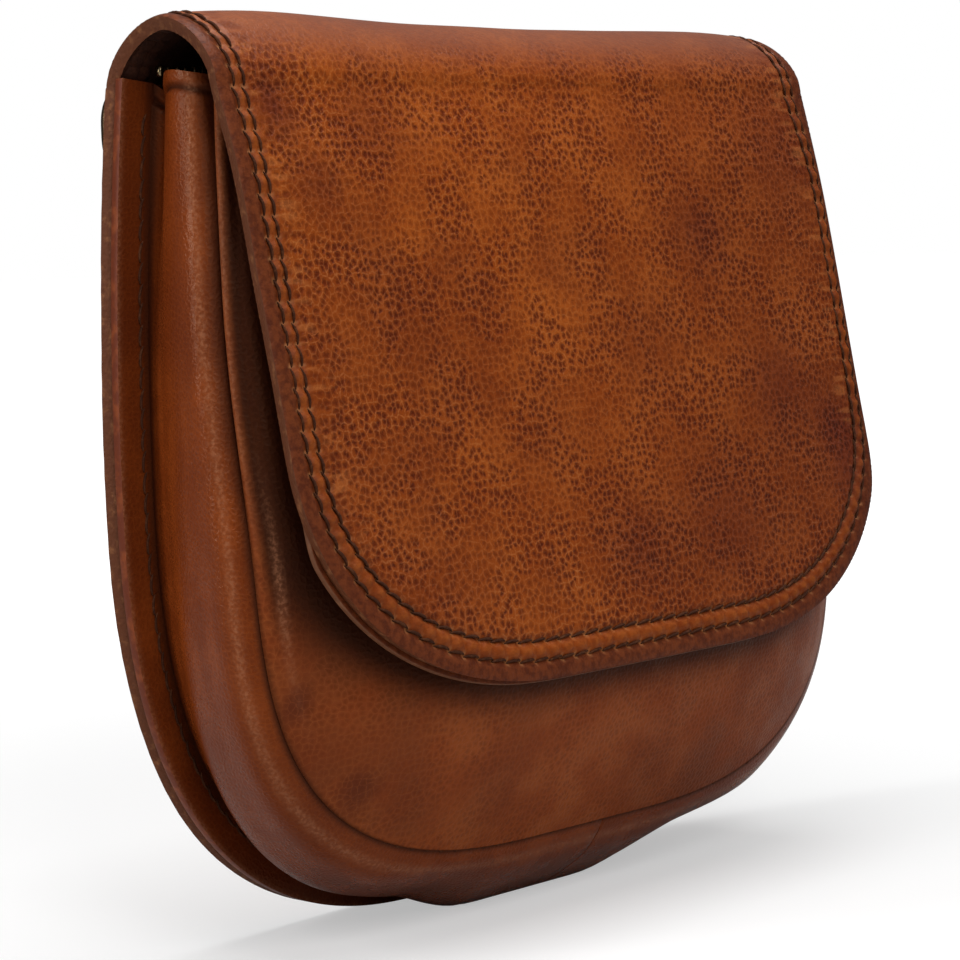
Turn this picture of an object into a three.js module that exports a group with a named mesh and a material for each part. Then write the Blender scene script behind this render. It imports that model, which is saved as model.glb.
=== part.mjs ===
// A small leather crossbody bag with a saddle-shaped flap.
//
// One thick hide is the back panel, arches over the mouth and hangs down the front as the flap.
// A thinner gusset in two strips is sewn to the back through a flange turned outwards, and to a domed
// front panel through a seam turned inwards. Two rings on leather tabs carry a strap, and a zip runs
// along the mouth.
//
// Millimetres, +Z up, the front faces -Y. A depth is measured forwards from the back panel's rear face,
// so a point at depth d lies at Y = -d until the whole bag is centred at the end.
import * as THREE from 'three';

// Leather
const HIDE = 3.0;
const SIDE = 2.0;
const GAP = 0.3;

// A U outline: half length of the flat foot, half widths, heights, and how round the lower corners are
const BACK = { foot: 18, wide: 103, top: 98.2, low: 0, wideZ: 105, topZ: 186, roundX: 2.4, roundZ: 2.72 };
const SEAM = { foot: 14, wide: 96.7, top: 89, low: 18, wideZ: 87, topZ: 184, roundX: 2.8, roundZ: 2.96 };
const CORNER_SHARE = 0.6;
const NEARBY = 0.004;
const BACK_BELLY = 1.0;

// The arch over the mouth: it springs from the back panel, droops at its two ends and sags in the middle
const ARCH = { springZ: 184, depth: 34, rise: 13.4, round: 1.7, endDrop: 1.2, endSharp: 8, sag: 0.9 };

// The flap: its outline, then how its outer face comes forward with each 100 mm of fall. The kick is a quick
// start just below the arch.
const FLAP = { top: 97.6, side: 97, foot: 30, cornerZ: 110, low: 57.3, round: 2.3 };
const FALL = { slope: 18, bow: 1.5, kick: 2.5, kickOver: 0.12, dome: 1.8 };

// The front seam's depth at the floor, and how it falls off with each 100 mm of height
const SEAM_DEPTH = { foot: 42.1, slope: 1.8, bow: 3.6 };

// The front panel: clearance under the flap, the swell's reach up from the seam's foot, and its side edges.
// They are gently domed low down, and turned sharply with an overhang higher up.
const FRONT = { clear: 1.2, reach: 60, footRound: 2.2, lowRound: 4, highRound: 8, lowEdge: 1, highEdge: 2 };
const TURNED = { overhang: 2.0, fromZ: 60, fullZ: 120, deepEdge: 9 };

// The gusset: its flange, then its section from the flange's root (share 0) to the front seam (share 1).
// A row gives how far the wall stands out from the straight line between the two, at five places round the U.
const FLANGE = { wide: 8.3, front: HIDE + 0.7 + SIDE };
const SECTION = [
  { share: 0.00, top: 0.0, mid: 0.0, low: 0.0, near: 0.0, bottom: 0.0, lift: 0.0 },
  { share: 0.15, top: -2.6, mid: -2.0, low: 3.0, near: 4.5, bottom: 5.3, lift: -1.5 },
  { share: 0.34, top: 1.2, mid: 0.7, low: 9.5, near: 9.0, bottom: 12.0, lift: 1.6 },
  { share: 0.60, top: 3.9, mid: 3.1, low: 10.0, near: 9.8, bottom: 14.2, lift: 2.2 },
  { share: 0.84, top: 3.2, mid: 4.5, low: 8.5, near: 7.4, bottom: 9.4, lift: 1.8 },
  { share: 0.95, top: 1.9, mid: 3.3, low: 4.5, near: 3.8, bottom: 4.3, lift: 1.6 },
  { share: 1.00, top: 0.0, mid: 0.0, low: 0.0, near: 0.0, bottom: 0.0, lift: 1.5 },
];
const STATION = { bottom: 0, near: 0.08, low: 0.2, mid: 0.67, top: 1 };
const LIFT_FROM = 0.9;
const JOINT_X = 5;

// Zip along the mouth
const ZIP = { tapeHalf: 84, tapeLow: 168, tapeTop: 186, tapeThick: 1, lean: 4.0, foot: HIDE + GAP, parts: 4 };
const TEETH = { half: 91.5, low: 186.3, tall: 2.2, back: 6.9, thick: 2.2 };

// Strap anchors on the back
const RING = { x: 82.2, z: 175.5, halfWide: 11.5, halfTall: 9, square: 4, wire: 1.7, off: 4.7 };
const TAB = { wide: 12, thick: 2, low: 142, meet: 154 };

// How finely each wall is faceted
const STEPS = { across: 16, back: 15, arch: 12, fall: 7, corner: 7, front: 16, round: 24, section: 11 };
const RING_STEPS = { around: 24, wire: 8 };
const BEND_STEPS = 8;

const finish = (name, color, roughness, metalness) => (
  new THREE.MeshStandardMaterial({ name, color, roughness, metalness })
);
const HIDE_LEATHER = finish('hide_leather', 0x9a5426, 0.45, 0);
const GUSSET_LEATHER = finish('gusset_leather', 0x8a4820, 0.38, 0);
const FRONT_LEATHER = finish('front_leather', 0x86451f, 0.45, 0);
const TAPE_CLOTH = finish('zip_cloth', 0x15120f, 0.9, 0);
const METAL = finish('dark_metal', 0x5c5850, 0.35, 1);

const range = (count) => Array.from({ length: count + 1 }, (_, i) => i / count);
const mix = THREE.MathUtils.lerp;
const smooth = (x) => THREE.MathUtils.smoothstep(x, 0, 1);

// A closed wall from a grid of points on its outer face: the face looks along (next row) x (next column).
function wall(name, grid, thickness, material) {
  const rows = grid.length;
  const cols = grid[0].length;
  const normals = grid.map((row) => row.map(() => new THREE.Vector3()));
  for (let i = 0; i < rows - 1; i += 1) {
    for (let j = 0; j < cols - 1; j += 1) {
      const alongRow = grid[i + 1][j + 1].clone().sub(grid[i][j]);
      const acrossRow = grid[i][j + 1].clone().sub(grid[i + 1][j]);
      const facing = alongRow.cross(acrossRow);
      [[i, j], [i + 1, j], [i, j + 1], [i + 1, j + 1]].forEach(([a, b]) => normals[a][b].add(facing));
    }
  }
  const outer = grid.flat();
  const inner = outer.map((p, k) => {
    const n = normals[Math.floor(k / cols)][k % cols].clone().normalize();
    return p.clone().addScaledVector(n, -thickness);
  });
  const points = [...outer, ...inner];
  const far = outer.length;
  const at = (i, j) => i * cols + j;
  const faces = [];
  const quad = (a, b, c, d) => faces.push(a, b, c, a, c, d);
  for (let i = 0; i < rows - 1; i += 1) {
    for (let j = 0; j < cols - 1; j += 1) {
      quad(at(i, j), at(i + 1, j), at(i + 1, j + 1), at(i, j + 1));
      quad(far + at(i, j), far + at(i, j + 1), far + at(i + 1, j + 1), far + at(i + 1, j));
    }
    quad(at(i + 1, 0), at(i, 0), far + at(i, 0), far + at(i + 1, 0));
    quad(at(i, cols - 1), at(i + 1, cols - 1), far + at(i + 1, cols - 1), far + at(i, cols - 1));
  }
  for (let j = 0; j < cols - 1; j += 1) {
    quad(at(0, j), at(0, j + 1), far + at(0, j + 1), far + at(0, j));
    quad(at(rows - 1, j + 1), at(rows - 1, j), far + at(rows - 1, j), far + at(rows - 1, j + 1));
  }
  const geometry = new THREE.BufferGeometry();
  geometry.setAttribute('position', new THREE.Float32BufferAttribute(points.flatMap((p) => p.toArray()), 3));
  geometry.setIndex(faces);
  return solid(name, geometry, material);
}

function solid(name, geometry, material) {
  const mesh = new THREE.Mesh(geometry, material);
  mesh.name = name;
  return mesh;
}

// A point of a U outline, right half: q runs from the middle of the foot (0) to the top (1).
function outlinePoint(o, q) {
  const turn = Math.min(q / CORNER_SHARE, 1) * Math.PI / 2;
  if (q < CORNER_SHARE) {
    const x = o.foot + (o.wide - o.foot) * Math.sin(turn) ** (2 / o.roundX);
    return new THREE.Vector2(x, o.low + (o.wideZ - o.low) * (1 - Math.cos(turn) ** (2 / o.roundZ)));
  }
  const up = (q - CORNER_SHARE) / (1 - CORNER_SHARE);
  return new THREE.Vector2(o.wide - (o.wide - o.top) * up ** 2, mix(o.wideZ, o.topZ, up));
}

// Its outward direction, from two points close by
function outlineNormal(o, q) {
  const ahead = outlinePoint(o, Math.min(q + NEARBY, 1));
  const along = ahead.sub(outlinePoint(o, Math.max(q - NEARBY, NEARBY / 2)));
  return new THREE.Vector2(along.y, -along.x).normalize();
}

// Depth of the flap's outer face at a height below the arch; u is 0 in the middle and 1 at its side
function flapDepth(z, u) {
  const fall = Math.max((ARCH.springZ - z) / 100, 0);
  const kick = FALL.kick * (1 - Math.exp(-fall / FALL.kickOver));
  const dome = FALL.dome * (1 - u * u) * Math.min(fall, 1);
  return ARCH.depth + FALL.slope * fall + FALL.bow * fall ** 2 + kick + dome;
}

// Back panel, arch and flap: rows from the back's foot, over the mouth, to the flap's lower edge
function hideGrid() {
  const columns = range(STEPS.across).map((k) => 2 * k - 1);
  const rows = [];
  const backTop = (ARCH.springZ - BACK.wideZ) / (BACK.topZ - BACK.wideZ);
  const backEnd = mix(CORNER_SHARE, 1, backTop);
  range(STEPS.back).forEach((share) => {
    const edge = outlinePoint(BACK, share * backEnd);
    const belly = BACK_BELLY * Math.sin(Math.PI * edge.y / ARCH.springZ);
    rows.push(columns.map((u) => new THREE.Vector3(edge.x * u, belly * (1 - u * u), edge.y)));
  });
  range(STEPS.arch).slice(1).forEach((share) => {
    const turn = share * Math.PI;
    const half = mix(BACK.top, FLAP.top, share);
    const power = 2 / ARCH.round;
    const forward = Math.sign(turn - Math.PI / 2) * Math.abs(Math.cos(turn)) ** power;
    const up = Math.abs(Math.sin(turn)) ** power;
    rows.push(columns.map((u) => {
      const crown = ARCH.endDrop * (1 - u ** ARCH.endSharp) - ARCH.sag * (1 - u * u) ** 2;
      const z = ARCH.springZ + (ARCH.rise + crown) * up;
      return new THREE.Vector3(half * u, -ARCH.depth * (1 + forward) / 2, z);
    }));
  });
  range(STEPS.fall).slice(1).forEach((share) => {
    const z = mix(ARCH.springZ, FLAP.cornerZ, share);
    const half = mix(FLAP.top, FLAP.side, share);
    rows.push(columns.map((u) => new THREE.Vector3(half * u, -flapDepth(z, u), z)));
  });
  range(STEPS.corner).slice(1).forEach((share) => {
    const turn = (1 - share) * Math.PI / 2;
    const power = 2 / FLAP.round;
    const z = FLAP.low + (FLAP.cornerZ - FLAP.low) * (1 - Math.cos(turn) ** power);
    const half = FLAP.foot + (FLAP.side - FLAP.foot) * Math.sin(turn) ** power;
    rows.push(columns.map((u) => new THREE.Vector3(half * u, -flapDepth(z, half * u / FLAP.side), z)));
  });
  return rows;
}

// Depth of the seam between the gusset and the front panel
function seamDepth(z) {
  const up = z / 100;
  return SEAM_DEPTH.foot - SEAM_DEPTH.slope * up - SEAM_DEPTH.bow * up ** 2;
}

// Front panel: rows from the seam's foot to the mouth, columns from right to left. The swell is 0 on the seam
// and 1 on the open face, and the overhang is widest halfway.
function frontGrid() {
  return range(STEPS.round).map((q) => {
    const edge = outlinePoint(SEAM, q);
    const out = outlineNormal(SEAM, q);
    const start = seamDepth(edge.y) + GAP / 2;
    const turned = smooth((edge.y - TURNED.fromZ) / (TURNED.fullZ - TURNED.fromZ));
    const round = mix(FRONT.lowRound, FRONT.highRound, turned);
    const power = mix(FRONT.lowEdge, FRONT.highEdge, turned);
    const footSwell = 1 - (1 - Math.min((edge.y - SEAM.low) / FRONT.reach, 1)) ** FRONT.footRound;
    return range(STEPS.front).map((k) => {
      const turn = (0.5 - k) * Math.PI;
      const u = Math.sign(turn) * Math.sqrt(Math.abs(Math.sin(turn)));
      const swell = footSwell * (1 - Math.abs(u) ** round) ** (1 / power);
      const x = edge.x * u;
      const open = flapDepth(Math.max(edge.y, FLAP.low), x / FLAP.side) - HIDE - FRONT.clear;
      const deep = smooth((open - start) / TURNED.deepEdge);
      const over = TURNED.overhang * turned * deep * Math.sin(Math.PI * swell);
      return new THREE.Vector3(x + over * out.x * u, -mix(start, open, swell), edge.y + over * out.y);
    });
  });
}

// How far the gusset stands out at a place round the U, from the columns of its table
function standOut(row, q) {
  const places = Object.keys(STATION);
  const next = Math.max(places.findIndex((place) => STATION[place] >= q), 1);
  const from = places[next - 1];
  const to = places[next];
  return mix(row[from], row[to], smooth((q - STATION[from]) / (STATION[to] - STATION[from])));
}

// One section of the gusset, from the flange's raw edge to the front seam; side is -1 on the left, 1 on the right
function gussetSection(q, side) {
  const edge = outlinePoint(BACK, q);
  const out = outlineNormal(BACK, q);
  const root = edge.clone().addScaledVector(out, -FLANGE.wide);
  const seam = outlinePoint(SEAM, q);
  const seamAt = seamDepth(seam.y) - GAP / 2;
  const lifted = smooth((q - LIFT_FROM) / (1 - LIFT_FROM));
  const controls = SECTION.map((row) => {
    const p = root.clone().lerp(seam, row.share).addScaledVector(out, standOut(row, q));
    return new THREE.Vector3(p.x, -mix(FLANGE.front, seamAt, row.share), p.y + row.lift * lifted);
  });
  const curve = new THREE.CatmullRomCurve3(controls, false, 'centripetal');
  const points = [new THREE.Vector3(edge.x, -FLANGE.front, edge.y), ...curve.getPoints(STEPS.section)];
  return points.map((p) => new THREE.Vector3(p.x * side, p.y, Math.max(p.z, 0)));
}

// The flat foot runs from the joint to the corner, then the strip follows the U up to the mouth.
function gussetGrid(side) {
  const joint = JOINT_X + side * GAP / 2;
  const foot = gussetSection(0, side);
  const start = foot.map((p) => new THREE.Vector3(joint, p.y, p.z));
  const strip = [start, ...range(STEPS.round).map((q) => gussetSection(q, side))];
  return side < 0 ? strip.reverse() : strip;
}

// The zip's tape leans from the back wall to under the teeth.
function tapeGrid() {
  const across = range(ZIP.parts).map((k) => mix(-ZIP.tapeHalf, ZIP.tapeHalf, k));
  const ends = [[ZIP.tapeLow, ZIP.foot], [ZIP.tapeTop, ZIP.foot + ZIP.lean]];
  return ends.map(([z, depth]) => across.map((x) => new THREE.Vector3(x, -depth, z)));
}

function teeth() {
  const geometry = new THREE.BoxGeometry(2 * TEETH.half, TEETH.thick, TEETH.tall);
  geometry.translate(0, -TEETH.back - TEETH.thick / 2, TEETH.low + TEETH.tall / 2);
  return solid('zip_teeth', geometry, METAL);
}

// A squarish ring of round wire standing in the XZ plane
function ring(name, side) {
  const power = 2 / RING.square;
  const soft = (v) => Math.sign(v) * Math.abs(v) ** power;
  const centre = (t) => (
    new THREE.Vector3(RING.halfWide * soft(Math.cos(t)), 0, RING.halfTall * soft(Math.sin(t)))
  );
  const backwards = new THREE.Vector3(0, 1, 0);
  const points = [];
  const faces = [];
  const { around, wire } = RING_STEPS;
  for (let i = 0; i < around; i += 1) {
    const turn = (2 * i + 1) * Math.PI / around;
    const step = Math.PI / around;
    const along = centre(turn + step).sub(centre(turn - step)).normalize();
    const out = along.clone().cross(backwards).negate();
    for (let j = 0; j < wire; j += 1) {
      const roll = 2 * Math.PI * j / wire;
      const p = centre(turn).addScaledVector(out, RING.wire * Math.cos(roll));
      points.push(...p.addScaledVector(backwards, RING.wire * Math.sin(roll)).toArray());
      const next = ((i + 1) % around) * wire;
      const here = i * wire;
      const k = (j + 1) % wire;
      faces.push(here + j, next + k, next + j, here + j, here + k, next + k);
    }
  }
  const geometry = new THREE.BufferGeometry();
  geometry.setAttribute('position', new THREE.Float32BufferAttribute(points, 3));
  geometry.setIndex(faces);
  const mesh = solid(name, geometry, METAL);
  mesh.position.set(side * RING.x, RING.off, RING.z);
  return mesh;
}

// A strip of leather folded round the ring's wire, its two layers sewn together below. The profile is drawn
// with its first axis backwards and its second up, and extruded along the bag's width.
function tab(name, side) {
  const hold = RING.wire + GAP;
  const outer = hold + TAB.thick;
  const z = RING.z - RING.halfTall;
  const near = RING.off - outer;
  const shape = new THREE.Shape();
  shape.moveTo(near, TAB.low);
  shape.lineTo(near + 2 * TAB.thick, TAB.low);
  shape.lineTo(near + 2 * TAB.thick, TAB.meet);
  shape.lineTo(RING.off + outer, z);
  shape.absarc(RING.off, z, outer, 0, Math.PI, false);
  shape.lineTo(near, TAB.low);
  const eye = new THREE.Path();
  eye.moveTo(near + TAB.thick, TAB.meet + TAB.thick);
  eye.lineTo(RING.off - hold, z);
  eye.absarc(RING.off, z, hold, Math.PI, 0, true);
  eye.lineTo(near + TAB.thick, TAB.meet + TAB.thick);
  shape.holes.push(eye);
  const extrusion = { depth: TAB.wide, bevelEnabled: false, curveSegments: BEND_STEPS };
  const geometry = new THREE.ExtrudeGeometry(shape, extrusion);
  geometry.applyMatrix4(new THREE.Matrix4().set(0, 0, 1, -TAB.wide / 2, 1, 0, 0, 0, 0, 1, 0, 0, 0, 0, 0, 1));
  const mesh = solid(name, geometry, HIDE_LEATHER);
  mesh.position.x = side * RING.x;
  return mesh;
}

const bag = new THREE.Group();
bag.add(
  wall('back_and_flap', hideGrid(), HIDE, HIDE_LEATHER),
  wall('gusset_left', gussetGrid(-1), SIDE, GUSSET_LEATHER),
  wall('gusset_right', gussetGrid(1), SIDE, GUSSET_LEATHER),
  wall('front_panel', frontGrid(), SIDE, FRONT_LEATHER),
  wall('zip_tape', tapeGrid(), ZIP.tapeThick, TAPE_CLOTH),
  teeth(),
  tab('strap_tab_left', -1),
  tab('strap_tab_right', 1),
  ring('strap_ring_left', -1),
  ring('strap_ring_right', 1),
);

// Stand the bag on the floor with the middle of its box over the origin.
const box = new THREE.Box3().setFromObject(bag);
const middle = box.getCenter(new THREE.Vector3());
bag.position.set(-middle.x, -middle.y, -box.min.z);

export default bag;
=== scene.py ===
# %% [markdown]
# A small leather crossbody bag with a saddle-shaped flap.
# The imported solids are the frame: they fix the size, the place and the collision of every piece.
# Each leather wall is then made again as a finer sheet of the same form, so that it can carry seams,
# stitches, grain and burnished edges, and it takes the place of the plain solid.

# %% Load the frame
import math

import bmesh
import bpy
import numpy as np
from mathutils import Matrix, Vector, kdtree, noise


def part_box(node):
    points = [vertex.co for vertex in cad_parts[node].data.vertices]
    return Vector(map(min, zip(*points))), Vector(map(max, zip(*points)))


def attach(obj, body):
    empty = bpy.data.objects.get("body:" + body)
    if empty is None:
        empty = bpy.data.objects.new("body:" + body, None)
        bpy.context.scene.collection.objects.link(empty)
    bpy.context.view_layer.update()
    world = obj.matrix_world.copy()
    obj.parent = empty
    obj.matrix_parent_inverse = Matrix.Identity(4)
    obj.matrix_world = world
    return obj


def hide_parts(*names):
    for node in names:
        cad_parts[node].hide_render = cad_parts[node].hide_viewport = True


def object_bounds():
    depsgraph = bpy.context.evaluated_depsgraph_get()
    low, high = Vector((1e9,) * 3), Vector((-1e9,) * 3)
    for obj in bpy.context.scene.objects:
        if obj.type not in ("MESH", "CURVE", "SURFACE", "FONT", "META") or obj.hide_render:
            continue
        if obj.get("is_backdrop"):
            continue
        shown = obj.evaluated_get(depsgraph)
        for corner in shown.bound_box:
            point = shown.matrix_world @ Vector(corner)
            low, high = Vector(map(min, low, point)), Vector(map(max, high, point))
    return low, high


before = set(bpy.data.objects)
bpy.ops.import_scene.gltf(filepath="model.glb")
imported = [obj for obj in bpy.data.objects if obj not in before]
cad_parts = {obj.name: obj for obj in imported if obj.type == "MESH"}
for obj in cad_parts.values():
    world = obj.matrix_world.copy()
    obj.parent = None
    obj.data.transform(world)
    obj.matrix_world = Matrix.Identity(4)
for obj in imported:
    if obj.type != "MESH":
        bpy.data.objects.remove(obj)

cad_box = [list(corner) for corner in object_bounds()]
print("nodes", sorted(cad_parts))
print("solid box in mm", [[round(1000 * c, 1) for c in corner] for corner in cad_box])

# %% [markdown]
# Sizes are in millimetres, as a bag maker would write them. A depth is measured forwards from the rear
# face of the back panel, at its edge, so a place on the bag is (across, depth, height). One function
# turns it into metres in the frame, and nothing else needs to know where the frame's origin is.

# %% From bag sizes to the frame
MM = 0.001
DECIMETRE = 100
# The two leather thicknesses, the gap between neighbouring pieces, and how far the back swells
HIDE = 3.0
SIDE = 2.0
GAP = 0.3
BACK_BELLY = 1.0
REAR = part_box("back_and_flap")[1].y - BACK_BELLY * MM


def place(across, depth, height):
    return Vector((across * MM, REAR - depth * MM, height * MM))


def mix(a, b, share):
    return a + (b - a) * share


def smooth(share):
    share = min(max(share, 0.0), 1.0)
    return share * share * (3 - 2 * share)


def rise(value, start, over):
    """A soft step from 0 to 1 that begins at a start and takes a length."""
    return smooth((value - start) / over)


def ridge(distance, middle, width):
    """A soft bump that is 1 in its middle."""
    return math.exp(-(((distance - middle) / width) ** 2))


def arc_lengths(points):
    """The distance of each point of a row from its first one, along the row."""
    return np.concatenate([[0.0], np.cumsum([math.dist(a, b) for a, b in zip(points, points[1:])])])


print("rear face at", round(REAR / MM, 2), "mm")

# %% [markdown]
# Two U outlines drive the whole bag: the edge of the back panel, and the seam between the gusset and
# the front. A superellipse gives the lower corners, because it can be squarer than a circle without a
# flat join.

# %% The two U outlines
BACK = dict(foot=18, wide=103, top=98.2, low=0, wide_z=105, top_z=186, round_x=2.4, round_z=2.72)
SEAM = dict(foot=14, wide=96.7, top=89, low=18, wide_z=87, top_z=184, round_x=2.8, round_z=2.96)
CORNER_SHARE = 0.6


def outline(u_shape, q):
    """Across and height on the right half of a U: q is 0 in the middle of its foot and 1 at its top."""
    if q < CORNER_SHARE:
        turn = q / CORNER_SHARE * math.pi / 2
        reach = math.sin(turn) ** (2 / u_shape["round_x"])
        climb = 1 - math.cos(turn) ** (2 / u_shape["round_z"])
        across = mix(u_shape["foot"], u_shape["wide"], reach)
        return across, mix(u_shape["low"], u_shape["wide_z"], climb)
    up = (q - CORNER_SHARE) / (1 - CORNER_SHARE)
    across = mix(u_shape["wide"], u_shape["top"], up**2)
    return across, mix(u_shape["wide_z"], u_shape["top_z"], up)


def outward(u_shape, q, nearby=0.004):
    ahead = outline(u_shape, min(q + nearby, 1))
    behind = outline(u_shape, max(q - nearby, nearby / 2))
    return Vector((ahead[1] - behind[1], behind[0] - ahead[0])).normalized()


print("back is", 2 * BACK["wide"], "mm wide, the front seam", 2 * SEAM["wide"], "mm")

# %% [markdown]
# The hide is one thick piece: it is the back, arches over the mouth and hangs down as the flap. Here it
# is described row by row, from the back's foot to the flap's lower edge. Each row knows its half width,
# and gives a point for any place across it. Use has left its marks: the arch is lifted near its left
# end, and the flap sways to the right, where its margin curls back.

# %% The hide, row by row
ARCH = dict(
    spring_z=184, depth=34, rise=13.8, round=1.7, end_drop=1.2, end_sharp=8, sag=0.9,
    puff=0.9, puff_at=-0.8, puff_wide=0.35,
)
FLAP = dict(top=97.6, side=97, foot=30, corner_z=110, low=57.3, round=2.3)
FALL = dict(slope=18, bow=1.5, kick=2.5, kick_over=0.12, kick_soft=1.6, dome=1.8)
CURL = dict(wide=6.0, deep=2.2, start=24.0, end=45.0, sway=2.0, sway_from=30, sway_over=50)


def flap_depth(z, u):
    fall = max((ARCH["spring_z"] - z) / DECIMETRE, 0)
    kick = FALL["kick"] * (1 - math.exp(-((fall / FALL["kick_over"]) ** FALL["kick_soft"])))
    dome = FALL["dome"] * (1 - u * u) * min(fall, 1)
    return ARCH["depth"] + FALL["slope"] * fall + FALL["bow"] * fall**2 + kick + dome


def on_flap(across, z):
    """The flap's outer face: it hangs a little to the right, and its right margin curls back."""
    into = max(across - FLAP["side"] + CURL["wide"], 0) / CURL["wide"]
    where = smooth((ARCH["spring_z"] - z) / CURL["start"]) * rise(z, FLAP["low"], CURL["end"])
    swayed = across + CURL["sway"] * rise(across, CURL["sway_from"], CURL["sway_over"]) * where
    return swayed, flap_depth(z, across / FLAP["side"]) - CURL["deep"] * into**2 * where, z


def back_belly(z):
    return BACK_BELLY * math.sin(math.pi * z / ARCH["spring_z"])


def back_row(q):
    half, z = outline(BACK, q)
    return half, lambda u: (half * u, -back_belly(z) * (1 - u * u), z)


def arch_row(share):
    turn = share * math.pi
    power = 2 / ARCH["round"]
    half = mix(BACK["top"], FLAP["top"], share)
    forward = math.copysign(abs(math.cos(turn)) ** power, turn - math.pi / 2)
    up = abs(math.sin(turn)) ** power

    def at(u):
        crown = ARCH["end_drop"] * (1 - abs(u) ** ARCH["end_sharp"]) - ARCH["sag"] * (1 - u * u) ** 2
        crest = ARCH["rise"] + crown + ARCH["puff"] * ridge(u, ARCH["puff_at"], ARCH["puff_wide"])
        return half * u, ARCH["depth"] * (1 + forward) / 2, ARCH["spring_z"] + crest * up

    return half, at


def fall_row(share):
    z = mix(ARCH["spring_z"], FLAP["corner_z"], share)
    half = mix(FLAP["top"], FLAP["side"], share)
    return half, lambda u: on_flap(half * u, z)


def corner_row(share):
    turn = (1 - share) * math.pi / 2
    power = 2 / FLAP["round"]
    z = mix(FLAP["low"], FLAP["corner_z"], 1 - math.cos(turn) ** power)
    half = mix(FLAP["foot"], FLAP["side"], math.sin(turn) ** power)
    return half, lambda u: on_flap(half * u, z)


ROW_COUNT = dict(back=66, arch=72, fall=64, corner=90)
spring_q = mix(CORNER_SHARE, 1, (ARCH["spring_z"] - BACK["wide_z"]) / (BACK["top_z"] - BACK["wide_z"]))
hide_rows = [back_row(q) for q in np.linspace(0, spring_q, ROW_COUNT["back"])]
hide_rows += [arch_row(s) for s in np.linspace(0, 1, ROW_COUNT["arch"])[1:]]
hide_rows += [fall_row(s) for s in np.linspace(0, 1, ROW_COUNT["fall"])[1:]]
hide_rows += [corner_row(s) for s in np.linspace(0, 1, ROW_COUNT["corner"])[1:]]
print("hide rows", len(hide_rows))

# %% [markdown]
# A stitch row keeps its distance from the cut edge, and that is easy to measure only on the flat hide.
# So the hide is unrolled: the run of a row is the length of leather from the back's foot. Across and
# run are then plain flat coordinates, and the edge is a curve in them that can be offset and divided
# into stitches.

# %% Unroll the hide
edge_profile = [row[1](1.0) for row in hide_rows]
hide_run = arc_lengths([p[1:] for p in edge_profile])
half_widths = np.array([row[0] for row in hide_rows])
edge_heights = [p[2] for p in edge_profile]
SPRING_ROW = ROW_COUNT["back"] - 1
FRONT_ROW = SPRING_ROW + ROW_COUNT["arch"] - 1


def on_hide(across, run):
    """The point of the outer face at a flat place, also a little outside the cut edge."""
    if run > hide_run[FRONT_ROW]:
        z = np.interp(run, hide_run, edge_heights) - max(run - hide_run[-1], 0.0)
        return place(*on_flap(across, z))
    if run < hide_run[SPRING_ROW]:
        u = across / np.interp(run, hide_run, half_widths)
        return place(across, -back_belly(run) * (1 - u * u), run)
    i = int(np.clip(np.searchsorted(hide_run, run) - 1, SPRING_ROW, FRONT_ROW - 1))
    share = (run - hide_run[i]) / (hide_run[i + 1] - hide_run[i])
    u = across / mix(half_widths[i], half_widths[i + 1], share)
    a, b = hide_rows[i][1](u), hide_rows[i + 1][1](u)
    return place(*(mix(p, q, share) for p, q in zip(a, b)))


def resample(points, spacing):
    """Points a fixed length apart along a flat polyline."""
    points = np.array(points)
    lengths = arc_lengths(points)
    stops = np.arange(0, lengths[-1], spacing)
    return np.column_stack([np.interp(stops, lengths, points[:, k]) for k in (0, 1)])


def inset_path(edge, distance):
    """A flat path moved sideways: a positive distance is inwards along the flap's edge."""
    along = np.gradient(edge, axis=0)
    along /= np.linalg.norm(along, axis=1)[:, None]
    return edge + np.reshape(distance, (-1, 1)) * np.column_stack([along[:, 1], -along[:, 0]])


FINE = 0.5
MERGE = 0.01
left_side = [(-half_widths[i], hide_run[i]) for i in range(SPRING_ROW, len(hide_rows))]
right_side = [(-x, s) for x, s in reversed(left_side)]
flap_edge = resample(left_side + right_side, FINE)
back_side = [(half_widths[i], hide_run[i]) for i in range(SPRING_ROW, -1, -1)]
back_edge = resample(back_side + [(-x, s) for x, s in reversed(back_side)], FINE)
print("flap edge", round(len(flap_edge) * FINE), "mm, back edge", round(len(back_edge) * FINE), "mm")

# %% [markdown]
# One helper makes every wall. A bmesh grid has the right topology already, so its vertices only have to
# be moved to their places. The rows and columns are ordered so that (next row) x (next column) looks
# outwards. Solidify then gives the leather its thickness on the inside, with materials of its own for
# the cut edge and the flesh side, and a small bevel rounds the cut edge as a burnisher does.

# %% Helpers for a leather wall
def shaped_grid(rows, columns, point):
    bm = bmesh.new()
    bmesh.ops.create_grid(bm, x_segments=columns - 1, y_segments=rows - 1, size=1)
    for v in bm.verts:
        j = columns - 1 - round((v.co.x + 1) / 2 * (columns - 1))
        i = round((v.co.y + 1) / 2 * (rows - 1))
        v.co = point(i, j)
    bm.normal_update()
    return bm


def new_layers(bm, *names):
    """A flat place for every vertex, and one number under each name."""
    return bm.verts.layers.float_vector.new("flat"), *(bm.verts.layers.float.new(name) for name in names)


def lay_flat(bm):
    """The flat place of a small strip is simply where it is, seen from the front."""
    (flat,) = new_layers(bm)
    for v in bm.verts:
        v[flat] = (v.co.x / MM, v.co.z / MM, 0.0)


def finished(name, bm, replaces=()):
    """The bmesh as a smooth object that rides on the bag."""
    mesh = bpy.data.meshes.new(name)
    bm.to_mesh(mesh)
    bm.free()
    mesh.shade_smooth()
    piece = bpy.data.objects.new(name, mesh)
    bpy.context.scene.collection.objects.link(piece)
    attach(piece, "root")
    if replaces:
        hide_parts(*replaces)
    return piece


BURNISH_OVER = math.radians(50)


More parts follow.
